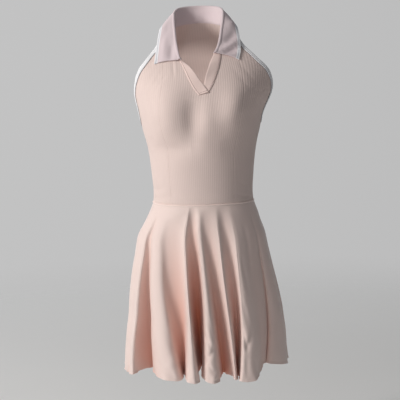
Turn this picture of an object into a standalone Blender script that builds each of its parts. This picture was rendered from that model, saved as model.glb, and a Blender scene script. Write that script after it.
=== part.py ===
"""Tennis dress: a sleeveless rib-knit bodice with an open polo collar on a flared skirt.

Metres, +Z up. The front faces -Y and +X is the viewer's right. The origin is the middle of the
neck, level with the sides of the neck base, where the wearer's neck and shoulders hold the dress.
All cloth keeps the hollow form that a general figure gives it.
"""

import math

import bmesh
import bpy
import numpy as np

# Walls
KNIT = 0.0012            # rib-knit wall of the bodice, between the ribs
RIB = 0.0004             # how far a rib stands out of it
JERSEY = 0.0012          # wall of the skirt
COLLAR_WALL = 0.0018
BAND_WALL = 0.0016       # placket bands, two layers
SEAM = 0.0003            # gap between two pieces that are sewn together

# Heights, from the origin
WAIST = -0.406
HEM = -0.816
UNDERARM = -0.216
BACK_NECK = 0.012

# Neck and shoulders of the figure
NECK_HALF = 0.057
SHOULDER_SLOPE = 0.31    # fall of the shoulder line for each metre out
NECK_RISE = 1.5          # rise of the neck for each metre in
SHOULDER_ROUND = 0.060   # height over which the shoulder rounds from front to back
SHOULDER_NECK = 0.0595   # where the shoulder seam meets the neck, from the middle
SHOULDER_PRINCESS = 0.070  # and where the princess seam runs into it

# Bust: one rounded cup each side, shaped by the princess seams
CUP_X = 0.088
CUP_Z = -0.190
CUP_DEPTH = 0.020
CUP_WIDE = 0.046
CUP_ABOVE = 0.062
CUP_BELOW = 0.046

# Binding round the armhole
BINDING_WIDTH = 0.008
BINDING_WALL = 0.0012
BINDING_LIFT = 0.0014    # its underside over the middle of the knit wall
BINDING_COVER = 0.0038   # from the outer edge of the binding to the edge of the knit under it

# Collar
ROLL_RADIUS = 0.0026
COLLAR_BULGE = 0.003
COLLAR_LEAD = 0.003      # how far the collar goes on in line with the cloth below its seam

# Placket bands: how far the middle of each lies over the middle of the knit, at its two ends
LEFT_LIFT = (0.0012, 0.0006)
RIGHT_LIFT = (-0.0021, 0.0002)

# Ribs of each panel, and points across and down a panel
RIBS_CENTRE = 36
RIBS_SIDE = 24
RIBS_BACK = 72
STEPS_PER_RIB = 2
INNER_STEP = 4           # the plain inside has one point for this many outer ones
EDGE_POINTS = 240        # points that an edge curve is read at, to cut a panel along it
BINDING_SECTIONS = 53
FRONT_ROWS = (0, 0.13, 0.26, 0.36, 0.45, 0.54, 0.63, 0.72, 0.81, 0.90, 0.97, 1)
BACK_ROWS = (0, 0.16, 0.32, 0.48, 0.63, 0.77, 0.89, 0.97, 1)
COLLAR_STEPS = 3         # sections of the collar for each row of its table

# Skirt
FOLD_STEPS = 4           # points from a ridge to the valley beside it
FOLD_GROWTH = 0.85       # power by which a fold deepens on its way down
RIDGE_BREADTH = 1.45     # over 1, a fold's ridge is broader than its valley
SKIRT_ROWS = (0, 0.05, 0.11, 0.18, 0.27, 0.38, 0.50, 0.62, 0.74, 0.87, 1)


def table(columns, *rows):
    """Turns rows of numbers under named columns into one array for each column."""
    return dict(zip(columns.split(), np.array(rows, float).T))


# Sections of the figure under the bodice: half the width, and how far the front and the back
# stand from the middle.
SECTIONS = table(
    "height half_width front back",
    (0.020, 0.187, 0.046, 0.058),
    (0.000, 0.187, 0.050, 0.066),
    (-0.027, 0.187, 0.056, 0.080),
    (-0.060, 0.187, 0.072, 0.094),
    (-0.080, 0.186, 0.083, 0.100),
    (-0.100, 0.181, 0.092, 0.106),
    (-0.120, 0.174, 0.099, 0.109),
    (-0.150, 0.166, 0.107, 0.110),
    (-0.188, 0.150, 0.111, 0.106),
    (-0.212, 0.142, 0.110, 0.102),
    (-0.236, 0.137, 0.107, 0.098),
    (-0.260, 0.131, 0.104, 0.094),
    (-0.300, 0.124, 0.098, 0.087),
    (-0.350, 0.119, 0.092, 0.081),
    (-0.385, 0.117, 0.090, 0.079),
    (-0.406, 0.1185, 0.090, 0.080),
)

# The chest of the bodice sits a little to the viewer's right.
SWAY = table(
    "height shift",
    (0.000, 0.000),
    (-0.045, 0.003),
    (-0.080, 0.0065),
    (-0.107, 0.0092),
    (-0.137, 0.0085),
    (-0.168, 0.0047),
    (-0.212, 0.000),
    (-0.406, 0.000),
)

# Princess seam: how far it lies from the middle.
PRINCESS = table(
    "height out",
    (-0.406, 0.072),
    (-0.360, 0.073),
    (-0.300, 0.076),
    (-0.260, 0.082),
    (-0.220, 0.089),
    (-0.190, 0.093),
    (-0.156, 0.094),
    (-0.120, 0.091),
    (-0.080, 0.0865),
    (-0.045, 0.079),
    (-0.020, 0.073),
    (-0.004, 0.070),
)

# Armhole edge, by its angle round the body from the front, from the shoulder under the arm and up
# the back to the shoulder again.
ARMHOLE = table(
    "degrees height",
    (26.0, -0.0078),
    (27.0, -0.0105),
    (27.9, -0.017),
    (29.3, -0.027),
    (33.0, -0.045),
    (38.2, -0.060),
    (44.3, -0.076),
    (51.9, -0.091),
    (59.4, -0.107),
    (66.0, -0.123),
    (70.0, -0.137),
    (73.0, -0.151),
    (75.5, -0.168),
    (78.0, -0.186),
    (82.0, -0.204),
    (90.0, UNDERARM),
    (98.0, -0.211),
    (107.0, -0.201),
    (118.0, -0.185),
    (130.5, -0.165),
    (140.0, -0.141),
    (146.4, -0.115),
    (150.0, -0.090),
    (152.0, -0.060),
    (153.0, -0.030),
    (153.5, -0.018),
    (153.8, -0.0105),
    (154.0, -0.0078),
)

# How far round the back its ribs spread, as a share of a quarter turn each side.
BACK_SPREAD = table(
    "height share",
    (WAIST, 1.00),
    (UNDERARM, 1.00),
    (-0.150, 0.92),
    (-0.100, 0.84),
    (-0.050, 0.78),
    (0.020, 0.76),
)

# V neck: the line where each band is sewn to the front, and the open edge of the band, from the
# bottom up. The bottom of the V is a little to the viewer's right. The right band starts at its
# second row, under the left one.
V_LEFT = table(
    "seam_x seam_z edge_x edge_z",
    (0.0005, -0.1532, 0.0222, -0.1478),
    (-0.0105, -0.1396, 0.0111, -0.1313),
    (-0.0204, -0.1215, 0.0022, -0.1199),
    (-0.0315, -0.0966, -0.0088, -0.1039),
    (-0.0385, -0.0815, -0.0199, -0.0902),
    (-0.0420, -0.0762, -0.0300, -0.0815),
    (-0.0440, -0.0730, -0.0402, -0.0748),
)
V_RIGHT = table(
    "seam_x seam_z edge_x edge_z",
    (0.0232, -0.1485, 0.0045, -0.1500),
    (0.0245, -0.1445, 0.0100, -0.1440),
    (0.0337, -0.1275, 0.0133, -0.1292),
    (0.0420, -0.1053, 0.0158, -0.1158),
    (0.0465, -0.0925, 0.0200, -0.1035),
    (0.0490, -0.0800, 0.0250, -0.0880),
    (0.0507, -0.0675, 0.0278, -0.0803),
    (0.0505, -0.0560, 0.0360, -0.0615),
)

# Collar, from its front end at the viewer's right round the back to the left: the seam on the
# neck edge (face is -1 on the front of the body and 1 on the back), the roll along its top, and
# its striped outer edge.
COLLAR = table(
    "face seam_x seam_z roll_x roll_y roll_z edge_x edge_y edge_z",
    (-1, 0.0362, -0.0608, 0.0362, -0.0790, -0.0600, 0.0925, -0.0765, -0.0765),
    (-1, 0.0500, -0.0545, 0.0425, -0.0725, -0.0485, 0.0962, -0.0660, -0.0597),
    (-1, 0.0520, -0.0390, 0.0475, -0.0620, -0.0310, 0.0966, -0.0575, -0.0440),
    (-1, 0.0540, -0.0240, 0.0510, -0.0440, -0.0090, 0.0945, -0.0415, -0.0230),
    (-1, 0.0565, -0.0100, 0.0540, -0.0190, 0.0120, 0.0900, -0.0190, -0.0030),
    (-1, 0.0590, -0.0008, 0.0550, 0.0060, 0.0300, 0.0865, 0.0060, 0.0020),
    (1, 0.0480, 0.0050, 0.0490, 0.0350, 0.0430, 0.0770, 0.0400, 0.0035),
    (1, 0.0270, 0.0100, 0.0290, 0.0560, 0.0485, 0.0480, 0.0730, 0.0045),
    (1, 0.0000, BACK_NECK, 0.0000, 0.0640, 0.0500, 0.0000, 0.0890, 0.0050),
    (1, -0.0270, 0.0100, -0.0290, 0.0560, 0.0485, -0.0480, 0.0730, 0.0045),
    (1, -0.0480, 0.0050, -0.0490, 0.0350, 0.0430, -0.0770, 0.0400, 0.0035),
    (-1, -0.0590, -0.0008, -0.0550, 0.0060, 0.0300, -0.0865, 0.0060, 0.0020),
    (-1, -0.0565, -0.0100, -0.0540, -0.0190, 0.0120, -0.0895, -0.0190, -0.0030),
    (-1, -0.0540, -0.0250, -0.0515, -0.0440, -0.0100, -0.0930, -0.0410, -0.0230),
    (-1, -0.0520, -0.0420, -0.0492, -0.0630, -0.0320, -0.0960, -0.0555, -0.0440),
    (-1, -0.0490, -0.0620, -0.0450, -0.0745, -0.0550, -0.0985, -0.0640, -0.0620),
    (-1, -0.0404, -0.0740, -0.0404, -0.0850, -0.0730, -0.1013, -0.0720, -0.0812),
)

# Outline of the skirt: how far it stands out to the viewer's right and left, and how far its folds
# reach to the front and the back.
FLARE = table(
    "height right left front back",
    (WAIST, 0.1185, 0.1185, 0.0900, 0.0800),
    (-0.423, 0.1243, 0.1246, 0.0935, 0.0860),
    (-0.442, 0.1313, 0.1343, 0.0975, 0.0950),
    (-0.457, 0.1368, 0.1428, 0.1010, 0.1020),
    (-0.483, 0.1467, 0.1577, 0.1075, 0.1140),
    (-0.527, 0.1560, 0.1670, 0.1160, 0.1270),
    (-0.576, 0.1670, 0.1769, 0.1220, 0.1370),
    (-0.625, 0.1782, 0.1836, 0.1270, 0.1440),
    (-0.674, 0.1878, 0.1878, 0.1310, 0.1500),
    (-0.724, 0.1945, 0.1950, 0.1345, 0.1550),
    (-0.761, 0.1962, 0.1978, 0.1365, 0.1580),
    (HEM, 0.1990, 0.2020, 0.1385, 0.1620),
)
FOLD_HEIGHTS = (-0.460, -0.620, HEM)

# Folds of the skirt, ridge and valley in turn, by their angle round the body from the front at
# FOLD_HEIGHTS. Reach is how far out each one lies at the hem, as a share of the outline, lift is
# how far it draws the hem up, and start is how far below the waist it begins.
FOLDS = table(
    "top middle hem reach lift start",
    (-68, -80, -77, 1.02, 0.004, 0.030),
    (-57, -62, -45, 0.76, 0.014, 0.030),
    (-45, -42, -27, 0.99, 0.000, 0.030),
    (-28, -25, -16, 0.68, 0.016, 0.026),
    (-16, -12, -8, 1.02, -0.002, 0.012),
    (-9.5, -6, -2.8, 0.40, 0.024, 0.012),
    (-3, 2.5, 3.8, 1.00, -0.002, 0.010),
    (5, 9.5, 13.5, 0.62, 0.018, 0.010),
    (14, 16.5, 20, 0.82, 0.006, 0.006),
    (22, 23.5, 24.5, 0.56, 0.016, 0.006),
    (29.5, 31, 31.5, 1.00, 0.000, 0.006),
    (50, 51, 48, 0.62, 0.018, 0.020),
    (70, 70, 68, 0.95, 0.020, 0.030),
    (88, 88, 88, 0.74, 0.020, 0.030),
    (103, 103, 103, 1.03, 0.004, 0.026),
    (117, 118, 119, 0.66, 0.018, 0.022),
    (130, 131, 131, 1.00, 0.000, 0.018),
    (142, 142, 143, 0.58, 0.020, 0.012),
    (153, 154, 155, 1.01, 0.000, 0.010),
    (163, 164, 165, 0.62, 0.016, 0.010),
    (174, 174, 174, 0.98, 0.000, 0.008),
    (184, 183, 182, 0.52, 0.022, 0.010),
    (194, 194, 193, 1.02, -0.002, 0.010),
    (206, 206, 206, 0.64, 0.018, 0.012),
    (219, 219, 220, 0.99, 0.000, 0.016),
    (234, 236, 237, 0.60, 0.018, 0.022),
    (249, 252, 253, 1.05, 0.002, 0.026),
    (268, 266, 268, 0.74, 0.018, 0.030),
)
SIDE_RIGHT, SIDE_LEFT = 13, 27   # the rows that the two side seams lie in, counted from 0

PINK = (0.78, 0.58, 0.54)
BAND_PINK = (0.84, 0.66, 0.62)
COLLAR_PINK = (0.76, 0.62, 0.64)
WHITE = (0.88, 0.88, 0.90)


def smooth(at, knots, values):
    """Cubic Hermite curve through the knots, each slope the mean of the two beside it."""
    order = np.argsort(knots)
    knots, values = np.asarray(knots)[order], np.asarray(values)[order]
    at = np.clip(at, knots[0], knots[-1])
    step = np.diff(knots)
    chord = np.diff(values) / step
    slope = np.concatenate([chord[:1], (chord[:-1] + chord[1:]) / 2, chord[-1:]])
    flat = chord[:-1] * chord[1:] <= 0
    slope[1:-1][flat] = 0
    part = np.clip(np.searchsorted(knots, at, side="right") - 1, 0, len(step) - 1)
    u = (at - knots[part]) / step[part]
    start = (1 + 2 * u) * (1 - u) ** 2 * values[part] + u * (1 - u) ** 2 * step[part] * slope[part]
    end = u**2 * (3 - 2 * u) * values[part + 1] - u**2 * (1 - u) * step[part] * slope[part + 1]
    return start + end


def unit(vectors):
    """Each vector at length one."""
    return vectors / np.maximum(np.linalg.norm(vectors, axis=-1, keepdims=True), 1e-12)


def column(data, name, height):
    """A named column of a table, read at the heights given."""
    return smooth(height, data["height"], data[name])


def squared_depth(x, height, face):
    """Square of how far the front (-1) or the back (1) stands from the middle at x, without cups.

    Each level is a half ellipse. Near the shoulder line the depth shrinks like a quarter circle,
    so front and back meet along it.
    """
    half = column(SECTIONS, "half_width", height)
    depth = np.where(face < 0, column(SECTIONS, "front", height), column(SECTIONS, "back", height))
    out = np.abs(x) - NECK_HALF
    shoulder = np.where(out > 0, -out * SHOULDER_SLOPE, -out * NECK_RISE)
    below = np.minimum((shoulder - height) / SHOULDER_ROUND, 1)
    return depth**2 * (1 - (x / half) ** 2) * (1 - (1 - below) ** 2)


def cup_depth(x, height, face):
    """How far the cups stand out of the front at x."""
    half = column(SECTIONS, "half_width", height)
    tall = np.where(height > CUP_Z, CUP_ABOVE, CUP_BELOW)
    round_shape = np.exp(-(((np.abs(x) - CUP_X) / CUP_WIDE) ** 2) - ((height - CUP_Z) / tall) ** 2)
    facing = np.sqrt(np.clip(1 - (x / half) ** 2, 0, 1))
    return np.where(face < 0, CUP_DEPTH * round_shape * facing, 0)


def torso(angle, height):
    """Point of the bodice at an angle round the body from the front, and a height."""
    x = column(SECTIONS, "half_width", height) * np.sin(angle)
    face = np.where(np.cos(angle) > 0, -1, 1)
    y = face * (np.sqrt(np.maximum(squared_depth(x, height, face), 0)) + cup_depth(x, height, face))
    return np.stack([x + column(SWAY, "shift", height), y, height + 0 * x], -1)


def torso_normal(angle, height):
    """Outward direction of the bodice, from how its squared depth changes across and down."""
    step = 1e-4
    x = column(SECTIONS, "half_width", height) * np.sin(angle)
    shift = column(SWAY, "shift", height)
    face = np.where(np.cos(angle) > 0, -1, 1)
    y = face * np.sqrt(np.maximum(squared_depth(x, height, face), 0))

    def slope(across, down):
        ends = []
        for way in (1, -1):
            z = height + way * down * step
            place = x + shift - column(SWAY, "shift", z) + way * across * step
            ends.append((squared_depth(place, z, face), face * cup_depth(place, z, face)))
        return [(a - b) / (2 * step) for a, b in zip(*ends)]

    (depth_x, cup_x), (depth_z, cup_z) = slope(1, 0), slope(0, 1)
    return unit(np.stack([-2 * y * cup_x - depth_x, 2 * y, -2 * y * cup_z - depth_z], -1))


def angle_at(x, height, face=-1):
    """Angle round the body of the point at x, on the front (-1) or the back (1)."""
    share = (x - column(SWAY, "shift", height)) / column(SECTIONS, "half_width", height)
    front = np.arcsin(np.clip(share, -1, 1))
    return np.where(np.asarray(face) < 0, front, math.pi - front)


def princess_angle(height):
    """Angle of the princess seam at each height."""
    out = column(PRINCESS, "out", height)
    return np.arcsin(out / column(SECTIONS, "half_width", height))


def seam_angle(height):
    """Half a seam's gap as an angle."""
    return SEAM / 2 / column(SECTIONS, "half_width", height)


def shoulder_height(x):
    """Height of the shoulder seam at x."""
    return -(np.abs(x) - NECK_HALF) * SHOULDER_SLOPE


def wall(outer, inner, step):
    """Closed body between an outer grid and an inner one with every step-th column of it.

    Both grids are (columns, rows, 3). Returns vertices and faces: the two sides, the rims along
    the first and the last row, which fan from the inner points, and the two end rims.
    """
    wide, tall = outer.shape[:2]
    narrow = inner.shape[0]
    outside = np.arange(wide * tall).reshape(wide, tall)
    inside = np.arange(narrow * tall).reshape(narrow, tall) + wide * tall
    faces = []
    for grid, flip in ((outside, False), (inside, True)):
        corners = (grid[:-1, :-1], grid[1:, :-1], grid[1:, 1:], grid[:-1, 1:])
        quads = np.stack(corners, -1).reshape(-1, 4)
        faces += [tuple(q[::-1] if flip else q) for q in quads.tolist()]
    for row, flip in ((0, True), (tall - 1, False)):
        for i in range(narrow - 1):
            left, right = inside[i, row], inside[i + 1, row]
            rim = [outside[i * step + k, row] for k in range(step + 1)]
            half = step // 2
            fans = [(left, rim[k], rim[k + 1]) for k in range(half)]
            fans += [(left, rim[half], right)]
            fans += [(right, rim[k], rim[k + 1]) for k in range(half, step)]
            faces += [tuple(int(v) for v in (f[::-1] if flip else f)) for f in fans]
    for end, flip in ((0, False), (-1, True)):
        a, b = outside[end], inside[end]
        quads = np.stack([a[:-1], a[1:], b[1:], b[:-1]], -1)
        faces += [tuple(q[::-1] if flip else q) for q in quads.tolist()]
    points = np.concatenate([outer.reshape(-1, 3), inner.reshape(-1, 3)])
    return points, faces


def tube(rings):
    """Closed ring body: sections of the same points, (sections, points, 3), joined end to start."""
    sections, corners = rings.shape[:2]
    grid = np.arange(sections * corners).reshape(sections, corners)
    ahead, beside = np.roll(grid, -1, 0), np.roll(grid, -1, 1)
    both = np.roll(ahead, -1, 1)
    faces = np.stack([grid, ahead, both, beside], -1).reshape(-1, 4)
    return rings.reshape(-1, 3), [tuple(f) for f in faces.tolist()]


def material(name, colour, roughness):
    """Cloth finish for one sub-part."""
    made = bpy.data.materials.new(name)
    made.use_nodes = True
    shader = made.node_tree.nodes["Principled BSDF"]
    shader.inputs["Base Color"].default_value = (*colour, 1)
    shader.inputs["Roughness"].default_value = roughness
    shader.inputs["Metallic"].default_value = 0
    return made


def add(name, body, finish):
    """Adds one closed body as an object, with its faces turned out."""
    points, faces = body
    mesh = bpy.data.meshes.new(name)
    mesh.from_pydata([tuple(p) for p in points.tolist()], [], faces)
    shaped = bmesh.new()
    shaped.from_mesh(mesh)
    bmesh.ops.recalc_face_normals(shaped, faces=shaped.faces)
    if shaped.calc_volume(signed=True) < 0:
        bmesh.ops.reverse_faces(shaped, faces=shaped.faces)
    shaped.to_mesh(mesh)
    shaped.free()
    mesh.shade_smooth()
    mesh.set_sharp_from_angle(angle=math.radians(50))
    thing = bpy.data.objects.new(name, mesh)
    thing.data.materials.append(finish)
    bpy.context.scene.collection.objects.link(thing)
    return thing


def knit_panel(angles, tops, ribs, rows, face):
    """Wall of rib knit over the torso.

    angles(height) gives the angle of every column at each height. Columns run from the waist to
    their own top, and the ribs are every other outer column, raised. Face is -1 on the front and
    1 on the back, and parts the two at the shoulder seam.
    """
    rows = np.array(rows)
    height = WAIST + SEAM / 2 + rows * (tops[:, None] - WAIST - SEAM / 2)
    angle = angles(height)
    points = torso(angle, height)
    points[:, -1, 1] = face * np.maximum(face * points[:, -1, 1], SEAM)
    normal = torso_normal(angle, height)
    raised = np.where(np.arange(ribs * STEPS_PER_RIB + 1) % STEPS_PER_RIB == 1, RIB, 0)
    outer = points + normal * (KNIT / 2 + raised[:, None, None])
    inner = (points - normal * KNIT / 2)[::INNER_STEP]
    return wall(outer, inner, INNER_STEP)


def along_rows(data, names, count):
    """Columns of a table read at even steps from its first row to its last, on smooth curves."""
    knots = np.arange(len(data[names[0]]))
    at = np.linspace(0, knots[-1], count)
    return [smooth(at, knots, data[name]) for name in names]


def top_line(share, height, at):
    """Top of each column of a panel: the lowest height of its edge line within half a column."""
    order = np.argsort(share)
    near = np.full(at.shape, (at[1] - at[0]) / 2)
    near[[0, -1]] = 0
    nearby = at + near * np.linspace(-1, 1, 5)[:, None]
    return np.interp(nearby, np.asarray(share)[order], np.asarray(height)[order]).min(0)


def armhole(count, inset=0.0):
    """Angles and heights of the armhole edge on the viewer's right, or of a line inside it.

    The inset is measured on the cloth, square to the edge, as if the body were a cylinder there.
    """
    degrees, height = along_rows(ARMHOLE, ("degrees", "height"), count)
    radius = column(SECTIONS, "half_width", height)
    flat = np.stack([np.radians(degrees) * radius, height])
    along = np.gradient(flat, axis=1)
    along /= np.linalg.norm(along, axis=0)
    flat = flat + inset * np.stack([along[1], -along[0]])
    return flat[0] / radius, flat[1]


def neck_edge(first, last):
    """Neck edge along the collar's seam between two rows of its table."""
    rows = {k: COLLAR[k][first:last] for k in ("seam_x", "seam_z")}
    return along_rows(rows, ("seam_x", "seam_z"), 40)


def front_centre():
    """Centre front between the princess seams, with the V neck and the neck edge cut into it."""
    shoulder = np.linspace(SHOULDER_NECK, SHOULDER_PRINCESS, 4)
    left, right = (along_rows(v, ("seam_x", "seam_z"), 60) for v in (V_LEFT, V_RIGHT))
    edges = [
        (-shoulder, shoulder_height(shoulder)),
        neck_edge(11, 16),
        (left[0] - 2 * SEAM, left[1] - 3 * SEAM),
        (right[0] + 2 * SEAM, right[1] - 3 * SEAM),
        neck_edge(1, 6),
        (shoulder, shoulder_height(shoulder)),
    ]
    x = np.concatenate([e[0] for e in edges])
    z = np.concatenate([e[1] for e in edges])
    share = angle_at(x, z) / princess_angle(z)
    across = np.linspace(-1, 1, RIBS_CENTRE * STEPS_PER_RIB + 1)
    tops = top_line(share, z, across)

    def angles(height):
        return across[:, None] * (princess_angle(height) - seam_angle(height))

    return knit_panel(angles, tops, RIBS_CENTRE, FRONT_ROWS, -1)


def front_side(side):
    """Side front from the princess seam to the side seam, with the armhole cut into it."""
    angle, height = armhole(EDGE_POINTS, BINDING_COVER)
    front = angle <= math.pi / 2
    angle, height = angle[front], height[front]
    seam = princess_angle(height)
    share = (angle - seam) / (math.pi / 2 - seam)
    share = np.concatenate([[0], share])
    height = np.concatenate([[shoulder_height(SHOULDER_PRINCESS)], height])
    across = np.linspace(0, 1, RIBS_SIDE * STEPS_PER_RIB + 1)
    tops = top_line(share, height, across)

    def angles(height):
        low = princess_angle(height) + seam_angle(height)
        high = math.pi / 2 - seam_angle(height)
        return side * (low + across[:, None] * (high - low))

    return knit_panel(angles, tops, RIBS_SIDE, FRONT_ROWS, -1)


def back_spread(height):
    """Angle from the middle of the back to the outermost rib, narrower over the shoulders."""
    return math.pi / 2 * column(BACK_SPREAD, "share", height)


def back():
    """Back in one piece, cut in at the armholes, its top along the neck and the shoulder seams."""
    angle, height = armhole(EDGE_POINTS, BINDING_COVER)
    rear = angle >= math.pi / 2
    neck_x, neck_z = neck_edge(5, 9)
    angle = math.pi - np.concatenate([angle[rear], angle_at(neck_x, neck_z, 1)])
    height = np.concatenate([height[rear], neck_z])
    share = angle / back_spread(height)
    share, height = np.concatenate([-share, share]), np.concatenate([height, height])
    across = np.linspace(-1, 1, RIBS_BACK * STEPS_PER_RIB + 1)
    tops = top_line(share, height, across)

    def angles(height):
        return math.pi - across[:, None] * (back_spread(height) - seam_angle(height))

    return knit_panel(angles, tops, RIBS_BACK, BACK_ROWS, 1)


def edge_frame(angle, height):
    """Points of a closed or open edge on the torso, with the ways along, out of and off the cloth."""
    points = torso(angle, height)
    normal = torso_normal(angle, height)
    along = np.gradient(points, axis=0)
    along = unit(along - normal * np.sum(along * normal, -1, keepdims=True))
    return points, normal, along


def binding(side):
    """White binding: a strip over the armhole edge with a lip that caps it, all the way round."""
    angle, height = armhole(BINDING_SECTIONS)
    points, normal, along = edge_frame(side * angle, height)
    points, normal, along = points[:-1], normal[:-1], along[:-1]
    along[0] = unit(points[1] - points[-1])
    off = unit(np.cross(normal, along)) * side
    low, high, lip, foot = BINDING_LIFT, BINDING_LIFT + BINDING_WALL, -BINDING_WALL, -KNIT / 2
    section = [
        (-BINDING_WIDTH, low),
        (-BINDING_WIDTH, high),
        (0, high),
        (0, foot),
        (lip, foot),
        (lip, low),
    ]
    rings = np.stack([points + off * across + normal * out for across, out in section], 1)
    return tube(rings)


def band(data, lifts):
    """Placket band between its seam and its open edge, lying on the chest."""
    rows, steps = 15, 4
    seam_x, seam_z, edge_x, edge_z = along_rows(data, ("seam_x", "seam_z", "edge_x", "edge_z"), rows)
    gap = 2 * SEAM / np.maximum(np.hypot(edge_x - seam_x, edge_z - seam_z), SEAM)
    across = gap + (1 - gap) * np.linspace(0, 1, steps)[:, None]
    x = seam_x + across * (edge_x - seam_x)
    z = seam_z + across * (edge_z - seam_z)
    angle = angle_at(x, z)
    lift = np.linspace(*lifts, rows)
    normal = torso_normal(angle, z)
    points = torso(angle, z) + normal * lift[:, None]
    return wall(points + normal * BAND_WALL / 2, points - normal * BAND_WALL / 2, 1)


def collar():
    """Collar folded over its roll: up from the neck seam, round the roll and down to its edge.

    It leaves the seam in line with the cloth below, so the two lie edge to edge.
    """
    last = len(COLLAR["face"]) - 1
    rows = last * COLLAR_STEPS + 1
    back_of = np.nonzero(COLLAR["face"] > 0)[0]
    at = np.linspace(0, last, rows)
    face = np.where((at > back_of[0] - 1) & (at < back_of[-1] + 1), 1, -1)
    x, height = along_rows(COLLAR, ("seam_x", "seam_z"), rows)
    seam, normal, along = edge_frame(angle_at(x, height, face), height)
    off = unit(np.cross(normal, along))
    roll = np.stack(along_rows(COLLAR, ("roll_x", "roll_y", "roll_z"), rows), -1)
    edge = np.stack(along_rows(COLLAR, ("edge_x", "edge_y", "edge_z"), rows), -1)
    up = np.array([0, 0, 1.0])
    out = unit((edge - roll) * (1, 1, 0))
    start = seam + off * 2 * SEAM
    lead = seam + off * COLLAR_LEAD
    fall = roll + out * 2 * ROLL_RADIUS
    columns = [start, lead, lead + (roll - lead) * 0.5, roll]
    for turn in (60, 120, 180):
        bend = math.radians(turn)
        columns.append(roll + ROLL_RADIUS * (out * (1 - math.cos(bend)) + up * math.sin(bend)))
    for part in (0.25, 0.5, 0.75, 1):
        bow = COLLAR_BULGE * 4 * part * (1 - part)
        columns.append(fall + (edge - fall) * part + unit(out + up) * bow)
    grid = np.stack(columns, 0)
    across = np.gradient(grid, axis=0)
    normals = unit(np.cross(across, np.gradient(grid, axis=1)))
    return wall(grid + normals * COLLAR_WALL / 2, grid - normals * COLLAR_WALL / 2, 1)


def skirt_angle(place, height):
    """Angle round the body of each column: the line of its fold, and between folds a share."""
    count = len(FOLDS["hem"])
    rounds = 360 * (place // count)
    lines = [np.append(FOLDS[k], FOLDS[k][0] + 360) for k in ("top", "middle", "hem")]
    top, middle, hem = (
        (np.interp(place % count, np.arange(count + 1), line) + rounds)[:, None] for line in lines
    )
    upper, centre, lower = FOLD_HEIGHTS
    u = np.clip((upper - height) / (upper - lower), 0, 1)
    m = (upper - centre) / (upper - lower)
    curve = top * (u - m) * (u - 1) / m + hem * u * (u - m) / (1 - m)
    return np.radians(curve - middle * u * (u - 1) / (m * (1 - m)))


def skirt_blend(place, values):
    """A fold's value, going over to the next along a half wave that is broad at the ridge."""
    low = np.floor(place).astype(int)
    ridge = low + low % 2
    valley = low + 1 - low % 2
    part = (1 - np.cos(np.pi * np.abs(place - ridge) ** RIDGE_BREADTH)) / 2
    return values[ridge % len(values)] * (1 - part) + values[valley % len(values)] * part


def skirt_point(place, share):
    """Point of the skirt: share runs from 0 at the waist to 1 at the hem.

    The outline is two half ellipses. A fold lies inside it by its own reach, and that depth grows
    from nothing where the fold begins to all of it at the hem.
    """
    reach = skirt_blend(place, FOLDS["reach"])[:, None]
    lift = skirt_blend(place, FOLDS["lift"])[:, None]
    start = skirt_blend(place, FOLDS["start"])[:, None]
    top = WAIST - SEAM / 2
    height = top + share * (HEM + lift - top)
    angle = skirt_angle(place, height)
    fallen = np.clip((WAIST - start - height) / (WAIST - start - HEM), 0, 1)
    scale = 1 - (1 - reach) * fallen**FOLD_GROWTH
    depth = np.where(np.cos(angle) > 0, column(FLARE, "front", height), column(FLARE, "back", height))
    half = np.where(np.sin(angle) > 0, column(FLARE, "right", height), column(FLARE, "left", height))
    x = half * np.sin(angle) * scale
    y = -depth * np.cos(angle) * scale
    return np.stack([x, y, height], -1)


def skirt(first, last):
    """Half of the skirt between two side seams, each given by the fold that it lies in."""
    place = np.arange(-1, 2 * len(FOLDS["hem"]) * FOLD_STEPS) / FOLD_STEPS
    grid = skirt_point(place, np.array(SKIRT_ROWS))
    across = np.gradient(grid, axis=0)
    normals = unit(np.cross(np.gradient(grid, axis=1), across))
    half = slice(first * FOLD_STEPS + 1, last * FOLD_STEPS + 2)
    grid, across, normals = grid[half], unit(across[half]), normals[half]
    grid[0] += across[0] * SEAM
    grid[-1] -= across[-1] * SEAM
    return wall(grid + normals * JERSEY / 2, grid - normals * JERSEY / 2, 1)


def main():
    """Clears the scene and builds every sub-part."""
    for thing in list(bpy.data.objects):
        bpy.data.objects.remove(thing, do_unlink=True)
    knit = material("rib_knit", PINK, 0.85)
    jersey = material("skirt_jersey", PINK, 0.7)
    collar_knit = material("collar_knit", COLLAR_PINK, 0.85)
    band_cloth = material("band_cloth", BAND_PINK, 0.8)
    white = material("binding_white", WHITE, 0.7)
    folds = len(FOLDS["hem"])
    under = {name: values[1:] for name, values in V_RIGHT.items()}

    pieces = [
        add("front_centre", front_centre(), knit),
        add("front_side_left", front_side(-1), knit),
        add("front_side_right", front_side(1), knit),
        add("back", back(), knit),
        add("placket_left", band(V_LEFT, LEFT_LIFT), band_cloth),
        add("placket_right", band(under, RIGHT_LIFT), band_cloth),
        add("collar", collar(), collar_knit),
        add("binding_left", binding(-1), white),
        add("binding_right", binding(1), white),
        add("skirt_front", skirt(SIDE_LEFT, SIDE_RIGHT + folds), jersey),
        add("skirt_back", skirt(SIDE_RIGHT, SIDE_LEFT), jersey),
    ]
    holder = bpy.data.objects.new("dress", None)
    bpy.context.scene.collection.objects.link(holder)
    for piece in pieces:
        piece.parent = holder


main()
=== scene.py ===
"""Tennis dress: finished cloth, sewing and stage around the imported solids.

Metres, +Z up; the lengths in the tables are in millimetres. The front faces -Y and +X is the
viewer's right. Every piece of cloth is a thin closed wall over a surface that is a function of
two parameters, worked out with numpy.
"""

import math

import bmesh
import bpy
import numpy as np
from bpy.props import FloatProperty, FloatVectorProperty, PointerProperty
from mathutils import Matrix


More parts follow.
